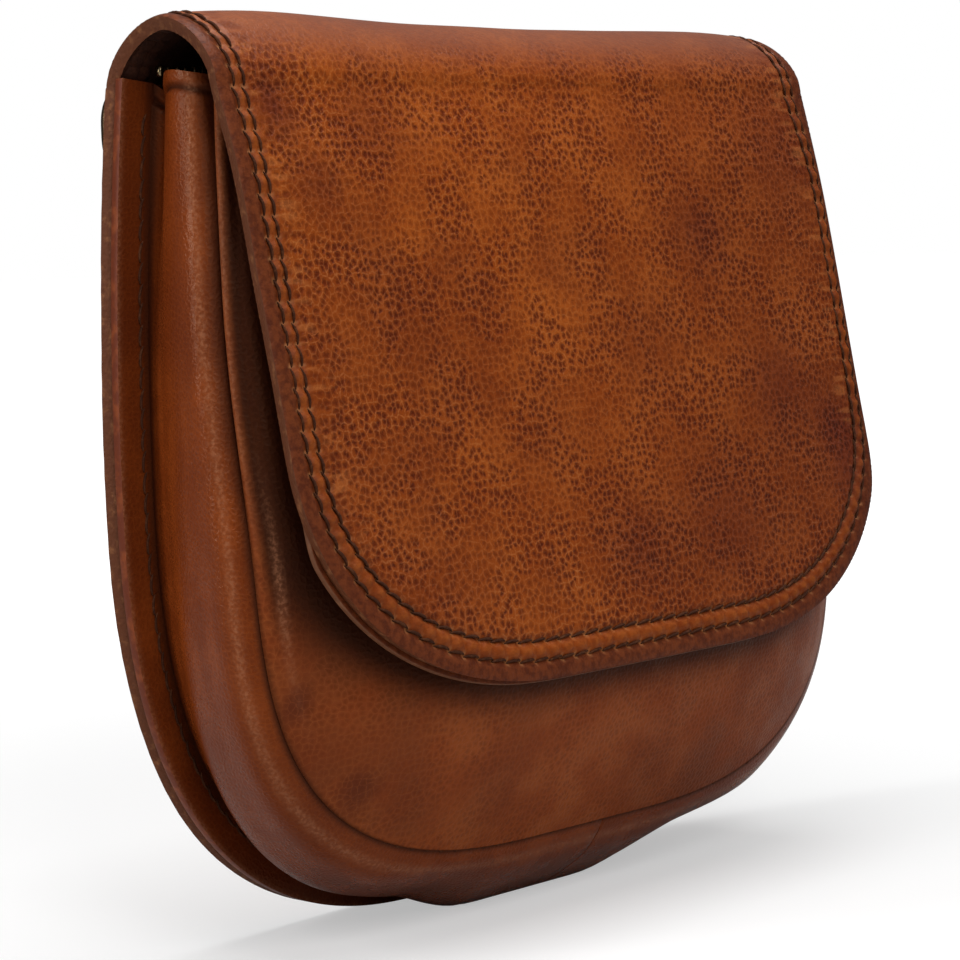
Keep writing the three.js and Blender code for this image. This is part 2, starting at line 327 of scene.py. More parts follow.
def thicken(piece, thickness, burnish):
    """Material 0 is the grain side, 1 the flesh side and 2 the cut edge."""
    wall = piece.modifiers.new("thickness", "SOLIDIFY")
    wall.thickness = thickness * MM
    wall.offset = -1
    wall.material_offset = 1
    wall.material_offset_rim = 2
    rounding = piece.modifiers.new("burnish", "BEVEL")
    rounding.width = burnish * MM
    rounding.segments = 2
    rounding.limit_method = "ANGLE"
    rounding.angle_limit = BURNISH_OVER


def dress(piece, *materials):
    for material in materials:
        piece.data.materials.append(material)


# %% [markdown]
# Leather shows its seams as relief: each stitch row pulls a furrow into the hide, the needle holes pinch it
# deepest, and the leather between the two rows puffs up. The furrows are real geometry, made by moving the
# vertices along their normals, because they show on the outline and in raking light.

# %% Relief of the stitch rows
STITCH = dict(pitch=4.4, outer=4.2, inner_low=8.4, inner_side=7.0, side_from=70, side_over=60, seam=6.3)
FURROW = dict(wide=0.8, deep=0.5, pinch=0.5, puff=0.6, puff_wide=1.4, tight=0.6, edge=0.5, edge_wide=0.9)


def pinched(along):
    return 0.5 + 0.5 * math.cos(2 * math.pi * along / STITCH["pitch"])


def inner_row(z):
    """The inner row is further from the edge along the flap's foot than along its sides."""
    on_side = rise(z, STITCH["side_from"], STITCH["side_over"])
    return mix(STITCH["inner_low"], STITCH["inner_side"], on_side)


def stitch_rows(distance, inner, width):
    return ridge(distance, STITCH["outer"], width) + ridge(distance, inner, width)


def rounded_edge(distance):
    return FURROW["edge"] * math.exp(-distance / FURROW["edge_wide"])


def bead(distance, along, inner):
    """The puffed leather between two needle holes, from 0 to 1."""
    return ridge(distance, (STITCH["outer"] + inner) / 2, FURROW["puff_wide"]) * (1 - pinched(along))


def double_relief(distance, along, inner, tight):
    """The relief of the two rows in mm. Over the mouth the hide is tight and puffs up less."""
    deep = FURROW["deep"] + FURROW["pinch"] * pinched(along)
    furrow = stitch_rows(distance, inner, FURROW["wide"]) * deep
    puff = FURROW["puff"] * (1 - FURROW["tight"] * tight)
    return puff * bead(distance, along, inner) - furrow - rounded_edge(distance)


def single_relief(distance):
    return -FURROW["deep"] * ridge(distance, STITCH["seam"], FURROW["wide"]) - rounded_edge(distance)


def flat_tree(points):
    tree = kdtree.KDTree(len(points))
    for k, (across, run) in enumerate(points):
        tree.insert((across, run, 0), k)
    tree.balance()
    return tree


edge_z = np.interp(flap_edge[:, 1], hide_run, edge_heights)
inner_rows = np.array([inner_row(z) for z in edge_z])
flap_tree = flat_tree(flap_edge)
back_tree = flat_tree(back_edge)
print("inner row from", inner_rows.min(), "to", inner_rows.max(), "mm from the edge")

# %% [markdown]
# The flap and the back each end in a U. Straight rows would be cut off at a slant by its corners, so
# the rows bend: each follows the cut edge at its own distance in the stitched band, and further in they
# close up to a middle line. The last row is folded together on that line, and its doubled vertices are
# merged.

# %% Rows that follow the cut edge
BAND = dict(wide=16.1, step=0.7, middle_columns=18, middle_end=0.6)
U_ROWS = dict(back=80, flap=280)
insets = np.concatenate([
    np.arange(0, BAND["wide"], BAND["step"]),
    np.linspace(BAND["wide"], FLAP["side"], BAND["middle_columns"]),
])


def u_rows(side_points, foot_run, count, inwards):
    """Flat rows of one U from its open end to its foot: the left half from the edge, then the right half."""
    path = np.array([*side_points, (0.0, foot_run)])
    lengths = arc_lengths(path)
    stops = np.linspace(0, lengths[-1], count)
    edge = np.column_stack([np.interp(stops, lengths, path[:, k]) for k in (0, 1)])
    band = inset_path(edge, inwards * BAND["wide"])
    middle_run = mix(edge[0, 1], band[:, 1], BAND["middle_end"])
    left = []
    for inset in insets:
        share = max(inset - BAND["wide"], 0) / (FLAP["side"] - BAND["wide"])
        from_edge = inset_path(edge, inwards * min(inset, BAND["wide"]))
        left.append(mix(from_edge, np.column_stack([0 * middle_run, middle_run]), share))
    left = np.array(left).transpose(1, 0, 2)
    left[-1, :, 0] = 0.0
    right = left[:, -2::-1] * (-1, 1)
    return np.concatenate([left, right], axis=1)


back_left = [(-half_widths[i], hide_run[i]) for i in range(SPRING_ROW, -1, -1)]
flap_left = [(-half_widths[i], hide_run[i]) for i in range(FRONT_ROW, len(hide_rows))]
across_shares = np.concatenate([insets / FLAP["side"] - 1, (1 - insets / FLAP["side"])[-2::-1]])
flat_rows = list(u_rows(back_left, 0.0, U_ROWS["back"], -1)[::-1])
for i in range(SPRING_ROW + 1, FRONT_ROW):
    flat_rows.append(np.array([(half_widths[i] * u, hide_run[i]) for u in across_shares]))
flat_rows += list(u_rows(flap_left, hide_run[-1], U_ROWS["flap"], 1))
print("hide", len(flat_rows), "rows of", len(across_shares))

# %% [markdown]
# Attributes travel with the mesh for its material: the flat place, the distance to the cut edge, the
# fold over the mouth where the grain is stretched smooth and a pale sheen is painted, the puffed beads
# between the stitch rows, which get a painted highlight, the needle holes with a painted highlight and
# painted shade between them along the thread, the creases that the thread gathers, painted only as
# shade and highlight, and dark clouds, with a painted shade added on the flap's right side and foot. A
# cloud is given as (across, height, radius, strength).

# %% The hide
WAVE = dict(size=30.0, high=0.35)
FOLD = dict(start=-0.10, start_over=0.25, end=0.98, end_over=0.30)
NEEDLE_WIDE = 0.85
GATHER = dict(
    reach=5.5, vary=3.0, vary_over=9, vary_slice=3.0, narrow=1.2, long=8, full=0.4, middle=2.0, start=1.5,
    from_z=62, over_z=50,
)
# Painted shade: the flap turns slowly darker towards its right side and its foot
SHADE = dict(
    right=0.38, right_from=-30, right_over=110, foot=0.22, foot_from=130, foot_over=60, before=25, back=0.2,
)
# The ragged outlines of the clouds are random, so their seed is set
DRIFT = dict(far=4, size=14, seed=1)
noise.seed_set(DRIFT["seed"])
CLOUDS = [
    (-85, 180, 7, 0.9), (-77, 162, 9, 0.6), (-81, 128, 11, 0.4), (-91, 96, 8, 0.4), (43, 150, 10, 0.5),
    (1, 82, 12, 0.5), (63, 114, 12, 0.45), (87, 98, 12, 0.7), (-23, 112, 15, 0.3), (31, 86, 16, 0.35),
    (87, 170, 20, 0.35), (15, 126, 14, 0.3), (-70, 76, 22, 0.3),
]


def waviness(co, size, high):
    """Slow hollows and swells that no cut of leather is free of."""
    return high * noise.noise(Vector(co) / (size * MM))


def spots_at(co, clouds):
    """The sum of soft dark clouds at a place, with ragged outlines."""
    drifted = co / MM + DRIFT["far"] * noise.noise_vector(co / (DRIFT["size"] * MM))
    total = 0.0
    for x, z, radius, strength in clouds:
        square = (drifted.x - x) ** 2 + (drifted.z - z) ** 2
        total += strength * math.exp(-square / radius**2)
    return min(total, 1.0)


def flap_clouds_and_shade(co):
    """The flap's clouds, and a painted shade that turns it slowly darker towards its right side and foot."""
    right = SHADE["right"] * rise(co.x / MM, SHADE["right_from"], SHADE["right_over"])
    foot = SHADE["foot"] * smooth((SHADE["foot_from"] - co.z / MM) / SHADE["foot_over"])
    return min(spots_at(co, CLOUDS) + (right + foot), 1.0)


def gather(inside, along):
    """Painted shade and highlight for short creases from the inner stitch row, where the thread pulls the
    flap in.
    """
    varied = noise.noise((along / GATHER["vary_over"], 0.0, GATHER["vary_slice"]))
    reach = GATHER["reach"] + GATHER["vary"] * varied
    crease = noise.noise((along / GATHER["narrow"], inside / GATHER["long"], 0.0))
    strength = smooth(abs(crease) / GATHER["full"]) * math.copysign(1, crease)
    return strength * ridge(inside, GATHER["middle"], reach) * smooth(inside / GATHER["start"])


def make_hide():
    columns = len(across_shares)
    bm = shaped_grid(len(flat_rows), columns, lambda i, j: on_hide(*flat_rows[i][j]))
    names = ("edge_mm", "fold", "pucker", "cloud", "gather", "needle")
    flat, edge, fold, pucker, cloud, gathers, needle = new_layers(bm, *names)
    for v in bm.verts:
        i, j = divmod(v.index, columns)
        v[flat] = (*flat_rows[i][columns - 1 - j], 0.0)
    bmesh.ops.remove_doubles(bm, verts=bm.verts[:], dist=MERGE * MM)
    bm.normal_update()
    for v in bm.verts:
        across, run, _ = v[flat]
        _, k_flap, d_flap = flap_tree.find((across, run, 0))
        _, _, d_back = back_tree.find((across, run, 0))
        on_back = run < hide_run[SPRING_ROW]
        along, inner = k_flap * FINE, inner_rows[k_flap]
        into = (run - hide_run[SPRING_ROW]) / (hide_run[FRONT_ROW] - hide_run[SPRING_ROW])
        ending = (FOLD["end"] - into) / FOLD["end_over"]
        v[fold] = smooth(min(ending, (into - FOLD["start"]) / FOLD["start_over"]))
        v[edge] = min(d_flap, d_back)
        # Clouds with the flap's painted shade; behind the flap an even tone
        v[cloud] = flap_clouds_and_shade(v.co) if run > hide_run[FRONT_ROW] - SHADE["before"] else SHADE["back"]
        if on_back:
            relief = single_relief(d_back)
        else:
            relief = double_relief(d_flap, along, inner, v[fold])
            high = rise(edge_z[k_flap], GATHER["from_z"], GATHER["over_z"])
            v[gathers] = gather(d_flap - inner, along) * high
            v[needle] = stitch_rows(d_flap, inner, NEEDLE_WIDE) * (2 * pinched(along) ** 2 - 1)
            v[pucker] = bead(d_flap, along, inner)
        v.co += v.normal * (relief + waviness(v.co, **WAVE)) * MM
    return finished("hide_shell", bm, ["back_and_flap"])


hide = make_hide()
thicken(hide, HIDE, burnish=0.5)
print("hide", len(hide.data.vertices), "vertices")

# %% [markdown]
# The gusset is a long strip that bulges between the back's flange and the front panel. Its section
# changes all the way round the U, so a short table gives how far it stands out at five places, and a
# smooth curve runs through each section. It touches the ground only under the middle, near the rear
# third of its depth, and its underside rises from there to the front.

# %% The gusset's section
FLANGE_SPACE = 0.7
FLANGE = dict(wide=8.3, front=HIDE + FLANGE_SPACE + SIDE)
SECTION = [
    dict(share=0.00, bottom=0.0, near=0.0, low=0.0, mid=0.0, top=0.0, lift=0.0),
    dict(share=0.15, bottom=5.3, near=4.5, low=3.0, mid=0.8, top=-1.6, lift=-1.5),
    dict(share=0.34, bottom=12.0, near=7.4, low=8.0, mid=2.6, top=1.8, lift=1.6),
    dict(share=0.60, bottom=10.6, near=7.2, low=8.4, mid=4.2, top=4.0, lift=2.2),
    dict(share=0.84, bottom=6.6, near=5.2, low=7.2, mid=4.8, top=3.4, lift=1.8),
    dict(share=0.95, bottom=2.9, near=2.8, low=3.8, mid=2.9, top=1.7, lift=1.6),
    dict(share=1.00, bottom=0.0, near=0.0, low=0.0, mid=0.0, top=0.0, lift=1.5),
]
STATION = dict(bottom=0, near=0.08, low=0.2, mid=0.67, top=1)
SEAM_DEPTH = dict(foot=42.1, slope=1.8, bow=3.6, drawn=3.0, drawn_from=80, drawn_over=60)
LIFT_FROM = 0.9
JOINT_X = 5
TINY = 1e-9


def seam_depth(z):
    """How deep the front seam lies. High up the hem draws the gusset in, so the seam is further back."""
    up = z / DECIMETRE
    drawn = SEAM_DEPTH["drawn"] * rise(z, SEAM_DEPTH["drawn_from"], SEAM_DEPTH["drawn_over"])
    return SEAM_DEPTH["foot"] - SEAM_DEPTH["slope"] * up - SEAM_DEPTH["bow"] * up**2 - drawn


def stand_out(row, q):
    names = list(STATION)
    k = next(k for k in range(1, len(names)) if STATION[names[k]] >= q - TINY)
    a, b = names[k - 1], names[k]
    return mix(row[a], row[b], rise(q, STATION[a], STATION[b] - STATION[a]))


def spline(points, count):
    """A centripetal Catmull-Rom curve through points, as count + 1 places."""
    points = [Vector(p) for p in points]
    padded = [2 * points[0] - points[1], *points, 2 * points[-1] - points[-2]]
    places = []
    for k in range(count + 1):
        at = k / count * (len(points) - 1)
        i = min(int(at), len(points) - 2)
        p = padded[i : i + 4]
        knots = [0.0]
        for a, b in zip(p, p[1:]):
            knots.append(knots[-1] + (b - a).length ** 0.5)
        t = mix(knots[1], knots[2], at - i)

        def blend(a, b, from_knot, to_knot):
            return a.lerp(b, (t - from_knot) / (to_knot - from_knot))

        low = [blend(p[m], p[m + 1], knots[m], knots[m + 1]) for m in range(3)]
        mid = [blend(low[m], low[m + 1], knots[m], knots[m + 2]) for m in range(2)]
        places.append(blend(mid[0], mid[1], knots[1], knots[2]))
    return places


GUSSET_COUNT = dict(rows=140, hem_rows=20, foot_rows=8, flange=9, section=54)
HEM_FROM = 0.96


def gusset_section(q):
    """(across, depth, height) from the flange's raw edge to the front seam, on the right side."""
    edge = Vector(outline(BACK, q))
    out = outward(BACK, q)
    root = edge - out * FLANGE["wide"]
    seam = Vector(outline(SEAM, q))
    seam_at = seam_depth(seam.y) - GAP / 2
    lifted = rise(q, LIFT_FROM, 1 - LIFT_FROM)
    controls = []
    for row in SECTION:
        p = root.lerp(seam, row["share"]) + out * stand_out(row, q)
        controls.append((p.x, mix(FLANGE["front"], seam_at, row["share"]), p.y + row["lift"] * lifted))
    flange = [edge.lerp(root, s) for s in np.linspace(0, 1, GUSSET_COUNT["flange"])[:-1]]
    points = [(p.x, FLANGE["front"], p.y) for p in flange] + spline(controls, GUSSET_COUNT["section"])
    return [(p[0], p[1], max(p[2], 0.0)) for p in points]


gusset_q = np.concatenate([
    np.linspace(0, HEM_FROM, GUSSET_COUNT["rows"]),
    np.linspace(HEM_FROM, 1, GUSSET_COUNT["hem_rows"])[1:],
])
right_strip = [gusset_section(q) for q in gusset_q]
print("gusset", len(right_strip), "sections of", len(right_strip[0]), "points")

# %% [markdown]
# The mouth of the gusset is hemmed: its end is folded and sewn, so it stands a little proud with a
# groove below. Soft wrinkles run along the strip. Both are small moves along the normal, and they fade
# out at the foot, so that nothing sinks below the ground.

# %% The two gusset strips
HEM = dict(tall=2.9, proud=0.55, step=0.6, below=0.5, groove=0.7, groove_wide=0.7)
CREASE = dict(along=60.0, across=4, high=0.4, from_z=2, over_z=8)
# Painted shade and dye in the gusset's grooves: on the flange, at its root, in the front seam, under the hem
SHADE_AND_DYE = dict(flange=0.38, root=0.4, root_wide=1.5, seam_low=1.0, seam_high=3.2, from_z=70, over_z=60)
# Painted highlights on the gusset's crown near the front seam and on the flange's raw edge
GUSSET_HIGHLIGHT = dict(crown=5.2, crown_wide=1.3, flange_wide=0.8)
FAR_FROM_HEM = 99.0
ROOT_COLUMN = GUSSET_COUNT["flange"] - 1


def gusset_relief(p, top_gap, share):
    hem = HEM["proud"] * smooth((HEM["tall"] - top_gap) / HEM["step"])
    groove = HEM["groove"] * ridge(top_gap, HEM["tall"] + HEM["below"], HEM["groove_wide"])
    wrinkle_at = (p[2] / CREASE["along"], share * CREASE["across"], p[0] / CREASE["along"])
    crease = CREASE["high"] * noise.noise(wrinkle_at)
    off_ground = rise(p[2], CREASE["from_z"], CREASE["over_z"])
    return hem - groove + crease * smooth(4 * share * (1 - share)) * off_ground


def groove_shade(to_root, to_seam, top_gap, z):
    """Painted shade and dye: how dark it is on the flange, at its root, in the front seam and under the hem.
    """
    under_hem = ridge(top_gap, HEM["tall"] + HEM["below"], HEM["groove_wide"])
    flange = SHADE_AND_DYE["flange"] if to_root < 0 else 0.0
    root = ridge(to_root, SHADE_AND_DYE["root"], SHADE_AND_DYE["root_wide"])
    seam_wide = mix(SHADE_AND_DYE["seam_low"], SHADE_AND_DYE["seam_high"], rise(z, SHADE_AND_DYE["from_z"], SHADE_AND_DYE["over_z"]))
    return min(flange + root + ridge(to_seam, 0.0, seam_wide) + under_hem, 1.0)


def make_gusset(name, side, node):
    joint = JOINT_X + side * GAP / 2
    foot = [[(mix(joint, p[0] * side, s), p[1], p[2]) for p in right_strip[0]]
            for s in np.linspace(0, 1, GUSSET_COUNT["foot_rows"])[:-1]]
    strip = foot + [[(p[0] * side, p[1], p[2]) for p in row] for row in right_strip]
    if side < 0:
        strip.reverse()
    columns = len(strip[0])
    bm = shaped_grid(len(strip), columns, lambda i, j: place(*strip[i][j]))
    flat, groove, painted_highlight = new_layers(bm, "groove", "painted_highlight")
    along = arc_lengths([row[columns // 2] for row in strip])
    top_row = strip[0] if side < 0 else strip[-1]
    arcs = [arc_lengths(row) for row in strip]
    for v in bm.verts:
        i, j = divmod(v.index, columns)
        j = columns - 1 - j
        p = strip[i][j]
        share = max(j - ROOT_COLUMN, 0) / GUSSET_COUNT["section"]
        top_gap = math.dist(p, top_row[j]) if share > 0 else FAR_FROM_HEM
        v[flat] = (arcs[i][j], along[i], 0.0)
        to_root = arcs[i][j] - arcs[i][ROOT_COLUMN]
        to_seam = arcs[i][-1] - arcs[i][j]
        # Painted shade and dye in the gusset's grooves
        v[groove] = groove_shade(to_root, to_seam, top_gap, p[2])
        # Painted highlights on the crown near the seam and along the flange's raw edge
        crown_highlight = ridge(to_seam, GUSSET_HIGHLIGHT["crown"], GUSSET_HIGHLIGHT["crown_wide"])
        v[painted_highlight] = crown_highlight + ridge(-to_root, FLANGE["wide"], GUSSET_HIGHLIGHT["flange_wide"])
        v.co += v.normal * gusset_relief(p, top_gap, share) * MM
        v.co.z = max(v.co.z, 0.0)
    return finished(name, bm, [node])


gussets = [
    make_gusset("gusset_strip_left", -1, "gusset_left"),
    make_gusset("gusset_strip_right", 1, "gusset_right"),
]
for gusset in gussets:
    thicken(gusset, SIDE, burnish=0.35)
    print(gusset.name, len(gusset.data.vertices), "vertices")

# %% [markdown]
# The front panel is domed: it starts on the seam and swells forward to lie just behind the flap. Low
# down the dome is gentle. Higher up the panel turns sharply at its sides and overhangs the seam, like a
# pillow in its cover, and a thin roll runs along it, with a highlight painted on its crest. The shadow
# of the flap is painted dark on the leather under it and a little beyond its edge.

# %% The front panel
FRONT = dict(clear=1.2, reach=60, foot_round=2.2, low_round=4, high_round=8, low_edge=1, high_edge=2)
TURNED = dict(overhang=2.0, from_z=60, over_z=60, deep_edge=9)
FRONT_COUNT = dict(rows=120, columns=121)
ROLL = dict(at=1.8, high=0.7, ditch_at=5.0, ditch=0.5, wide=1.3, from_z=60, over_z=40)
# Painted highlights on the crest of the roll and on a lower corner
CREST_HIGHLIGHT = dict(crest=2.0, wide=0.8, share=0.9, from_z=80, over_z=40)
CORNER_HIGHLIGHT = dict(z=80, tall=18, inside=5.0, wide=1.0, share=1.5)
SHADOW = dict(low=7.0, high=17.0, from_z=60, over_z=50, seam=0.8, seam_over=3.2)
# Painted shade and dye along the front seam
FRONT_SEAM_SHADE_AND_DYE = dict(share=0.7, wide=0.9)
FRONT_CLOUDS = [
    (-90, 60, 6, 0.8), (-75, 38, 8, 0.8), (-90, 84, 8, 0.5), (-40, 33, 12, 0.3), (16, 28, 12, 0.35),
    (50, 44, 10, 0.3),
]


def front_point(q, k):
    across, z = outline(SEAM, q)
    out = outward(SEAM, q)
    start = seam_depth(z)
    turned = rise(z, TURNED["from_z"], TURNED["over_z"])
    power = mix(FRONT["low_edge"], FRONT["high_edge"], turned)
    foot_swell = 1 - (1 - min((z - SEAM["low"]) / FRONT["reach"], 1)) ** FRONT["foot_round"]
    turn = (0.5 - k) * math.pi
    u = math.copysign(math.sqrt(abs(math.sin(turn))), turn)
    roundness = mix(FRONT["low_round"], FRONT["high_round"], turned)
    swell = foot_swell * (1 - abs(u) ** roundness) ** (1 / power)
    open_at = flap_depth(max(z, FLAP["low"]), across * u / FLAP["side"]) - HIDE - FRONT["clear"]
    deep = smooth((open_at - start) / TURNED["deep_edge"])
    over = TURNED["overhang"] * turned * deep * math.sin(math.pi * swell)
    return across * u + over * out.x * u, mix(start, open_at, swell), z + over * out.y


lip_tree = kdtree.KDTree(len(flap_edge))
for k, spot in enumerate(flap_edge):
    lip_tree.insert(on_hide(*spot) * Vector((1, 0, 1)), k)
lip_tree.balance()


def flap_shadow(co):
    """Painted shadow of the flap: 1 where the flap hides the panel, less and less beyond its edge, further
    at the sides.
    """
    reach = mix(SHADOW["low"], SHADOW["high"], rise(co.z / MM, SHADOW["from_z"], SHADOW["over_z"]))
    half = np.interp(co.z / MM, edge_heights[:FRONT_ROW:-1], half_widths[:FRONT_ROW:-1])
    if co.z / MM > FLAP["low"] and abs(co.x) / MM < half:
        return 1.0
    _, _, gap = lip_tree.find((co.x, 0, co.z))
    return math.exp(-((gap / MM / reach) ** 2))


def front_relief(to_seam, z):
    """The seam allowance inside makes a thin roll along the panel's sides, with a ditch beside it."""
    roll = ROLL["high"] * ridge(to_seam, ROLL["at"], ROLL["wide"])
    ditch = ROLL["ditch"] * ridge(to_seam, ROLL["ditch_at"], ROLL["wide"])
    return (roll - ditch) * rise(z, ROLL["from_z"], ROLL["over_z"])


def front_highlight(to_seam, z):
    """Painted highlights: pale on the crest of the roll, and on the lower corner, further in."""
    crest = CREST_HIGHLIGHT["share"] * rise(z, CREST_HIGHLIGHT["from_z"], CREST_HIGHLIGHT["over_z"])
    corner = CORNER_HIGHLIGHT["share"] * ridge(z, CORNER_HIGHLIGHT["z"], CORNER_HIGHLIGHT["tall"])
    on_crest = crest * ridge(to_seam, CREST_HIGHLIGHT["crest"], CREST_HIGHLIGHT["wide"])
    return on_crest + corner * ridge(to_seam, CORNER_HIGHLIGHT["inside"], CORNER_HIGHLIGHT["wide"])


def make_front():
    qs = np.linspace(0, 1, FRONT_COUNT["rows"])
    ks = np.linspace(0, 1, FRONT_COUNT["columns"])
    points = [[front_point(q, k) for k in ks] for q in qs]
    bm = shaped_grid(len(qs), len(ks), lambda i, j: place(*points[i][j]))
    flat, groove, painted_highlight, flap_shadow_layer, cloud = new_layers(bm, "groove", "painted_highlight", "flap_shadow", "cloud")
    arcs = [arc_lengths(row) for row in points]
    for v in bm.verts:
        i, j = divmod(v.index, len(ks))
        j = len(ks) - 1 - j
        v[flat] = (arcs[i][j] - arcs[i][-1] / 2, points[i][j][2], 0.0)
        # Along the foot the row's number stands in for its distance
        to_seam = min(arcs[i][j], arcs[i][-1] - arcs[i][j], i)
        z = v.co.z / MM
        # Painted shade and dye along the seam
        v[groove] = FRONT_SEAM_SHADE_AND_DYE["share"] * ridge(to_seam, 0.0, FRONT_SEAM_SHADE_AND_DYE["wide"])
        # Painted highlights on the roll's crest and a lower corner
        v[painted_highlight] = front_highlight(to_seam, z)
        # The flap's shadow is painted here, fading out near the seam
        v[flap_shadow_layer] = flap_shadow(v.co) * rise(to_seam, SHADOW["seam"], SHADOW["seam_over"])
        v[cloud] = spots_at(v.co, FRONT_CLOUDS)
        v.co += v.normal * front_relief(to_seam, z) * MM
    return finished("front_dome", bm, ["front_panel"])


front = make_front()
thicken(front, SIDE, burnish=0.3)
print("front panel", len(front.data.vertices), "vertices")

# %% [markdown]
# Waxed thread is sewn in two rows along the flap. Every stitch is a thin spindle that leaves one needle
# hole and enters the next, bowed and a little slanted, so a row looks like a fine wave. A small sphere
# stretched along the row has few faces and tapers into the leather by itself.

# %% Stitches along the flap and the back
THREAD = dict(radius=0.37, length=4.7, slant=0.14, sunk=-0.04, bow=0.28, dip=0.45)
NEARBY = 3


def add_stitch(bm, middle, along, out, length, radius):
    """A thin spindle that bows to one side and dips into the leather at both ends."""
    along = along.normalized()
    across = out.cross(along).normalized()
    made = bmesh.ops.create_uvsphere(bm, u_segments=6, v_segments=7, radius=1)
    for v in made["verts"]:
        side, up, forth = v.co
        sideways = side * radius + THREAD["bow"] * (1 - forth**2) + THREAD["slant"] * forth * length / 2
        upwards = up * radius - THREAD["dip"] * forth**2
        v.co = middle + (along * forth * length / 2 + across * sideways + out * upwards) * MM


def stitch_spots(edge, distance, locate):
    """The middle, direction and outside of each stitch of a row, a pitch apart along the cut edge."""
    path = inset_path(edge, distance)
    per_stitch = STITCH["pitch"] / FINE
    for middle in np.arange(1.5 * per_stitch, len(path) - per_stitch, per_stitch):
        k = int(round(middle))
        here, ahead, behind = (locate(*path[m]) for m in (k, k + NEARBY, k - NEARBY))
        inwards = locate(*(path[k] + (path[k] - edge[k]) / np.max(distance))) - here
        along = ahead - behind
        yield here, along, along.cross(inwards).normalized()


def sew(name, spots, sunk, length=THREAD["length"], radius=THREAD["radius"]):
    bm = bmesh.new()
    for middle, along, out in spots:
        add_stitch(bm, middle - out * sunk * MM, along, out, length, radius)
    thread = finished(name, bm)
    print(name, len(thread.data.polygons), "faces")
    return thread


in_furrow = THREAD["sunk"] + FURROW["deep"] / 2
threads = [
    sew("flap_stitches_outer", stitch_spots(flap_edge, STITCH["outer"], on_hide), in_furrow),
    sew("flap_stitches_inner", stitch_spots(flap_edge, inner_rows, on_hide), in_furrow),
    sew("back_stitches", stitch_spots(back_edge, STITCH["seam"], on_hide), in_furrow),
]

# %% [markdown]
# The same seam that shows on the back comes out on the flange's front face. There the hide is flat, so
# the run is simply the height, and the path is turned round so that the thread lies on the front side.
# Along the bottom of the front seam only the needle holes show.

# %% Stitches on the flange and holes in the front seam
HOLES = dict(to_q=0.20, samples=60, pitch=4.4, length=1.3, radius=0.2)
BACK_AND_UP = Vector((0, 1, 1))


def on_flange(across, height):
    return place(across, FLANGE["front"], height)


def in_seam(across, height):
    return place(across, seam_depth(height) + GAP / 2, height)


flange_spots = stitch_spots(back_edge[::-1], -STITCH["seam"], on_flange)
threads.append(sew("flange_stitches", flange_spots, THREAD["sunk"]))

right_foot = [outline(SEAM, q) for q in np.linspace(HOLES["to_q"], 0, HOLES["samples"])]
seam_path = resample(right_foot + [(-x, z) for x, z in reversed(right_foot)], FINE)
seam_spots = []
for k in range(NEARBY, len(seam_path) - NEARBY, round(HOLES["pitch"] / FINE)):
    here, ahead, behind = (in_seam(*seam_path[m]) for m in (k, k + NEARBY, k - NEARBY))
    along = ahead - behind
    seam_spots.append((here, along, along.cross(BACK_AND_UP).cross(along).normalized() * -1))
threads.append(sew("seam_holes", seam_spots, 0.0, HOLES["length"], HOLES["radius"]))

# %% [markdown]
# Low on the flap a second layer is sewn behind the edge, so the lip there is thicker, and a lighter
# line runs along it. It is a narrow strip that follows the same unrolled edge, lowered by the thickness
# of the hide.

# %% The facing behind the flap's lip
FACING = dict(wide=9.5, thick=1.5, proud=0.3, below_z=99, under=0.08, tuck=2.6, taper=14)
FACING_COUNT = dict(step=3, columns=10)


def make_facing():
    low = [k for k, (x, run) in enumerate(flap_edge) if on_hide(x, run).z < FACING["below_z"] * MM]
    picks = list(range(low[0], low[-1] + 1, FACING_COUNT["step"]))
    distances = np.linspace(-FACING["proud"], FACING["wide"], FACING_COUNT["columns"])
    rim = [on_hide(*p) for p in inset_path(flap_edge, distances[1])[picks]]
    deeper = [on_hide(*p) for p in inset_path(flap_edge, distances[-1])[picks]]

    def point(i, j):
        along = rim[min(i + 1, len(picks) - 1)] - rim[max(i - 1, 0)]
        out = along.cross(deeper[i] - rim[i]).normalized()
        from_end = min(i, len(picks) - 1 - i) * FACING_COUNT["step"] * FINE
        hidden = FACING["tuck"] * (1 - smooth(from_end / FACING["taper"]))
        inset = distances[j] + hidden * (1 - j / (len(distances) - 1))
        return on_hide(*inset_path(flap_edge, inset)[picks[i]]) - out * (HIDE + FACING["under"]) * MM

    bm = shaped_grid(len(picks), len(distances), point)
    lay_flat(bm)
    return finished("flap_facing", bm)


facing = make_facing()
thicken(facing, FACING["thick"], burnish=0.3)
print("facing", len(facing.data.vertices), "vertices")

# %% [markdown]
# A zip closes the mouth. Its tape leans out from the back wall, and the teeth sit along its top. A
# tooth is a small bevelled block, and every second one belongs to the other tape, so they alternate
# front and back.

# %% The zip
ZIP = dict(half=84, low=168, top=186, thick=1.0, lean=4.0, foot=HIDE + GAP, ripple=0.3, ripple_over=9)
TAPE_COUNT = dict(rows=10, columns=85)
TEETH = dict(half=91.5, low=186.3, tall=2.2, back=6.9, thick=2.2, pitch=2.4, wide=1.5, shift=0.35, bevel=0.3)


def make_tape():
    rows, columns = TAPE_COUNT["rows"], TAPE_COUNT["columns"]

    def point(i, j):
        s = i / (rows - 1)
        across = mix(-ZIP["half"], ZIP["half"], j / (columns - 1))
        ripple = ZIP["ripple"] * math.sin(across / ZIP["ripple_over"]) * s * (1 - s)
        return place(across, ZIP["foot"] + ZIP["lean"] * s + ripple, mix(ZIP["low"], ZIP["top"], s))

    return finished("zip_cloth_tape", shaped_grid(rows, columns, point), ["zip_tape"])


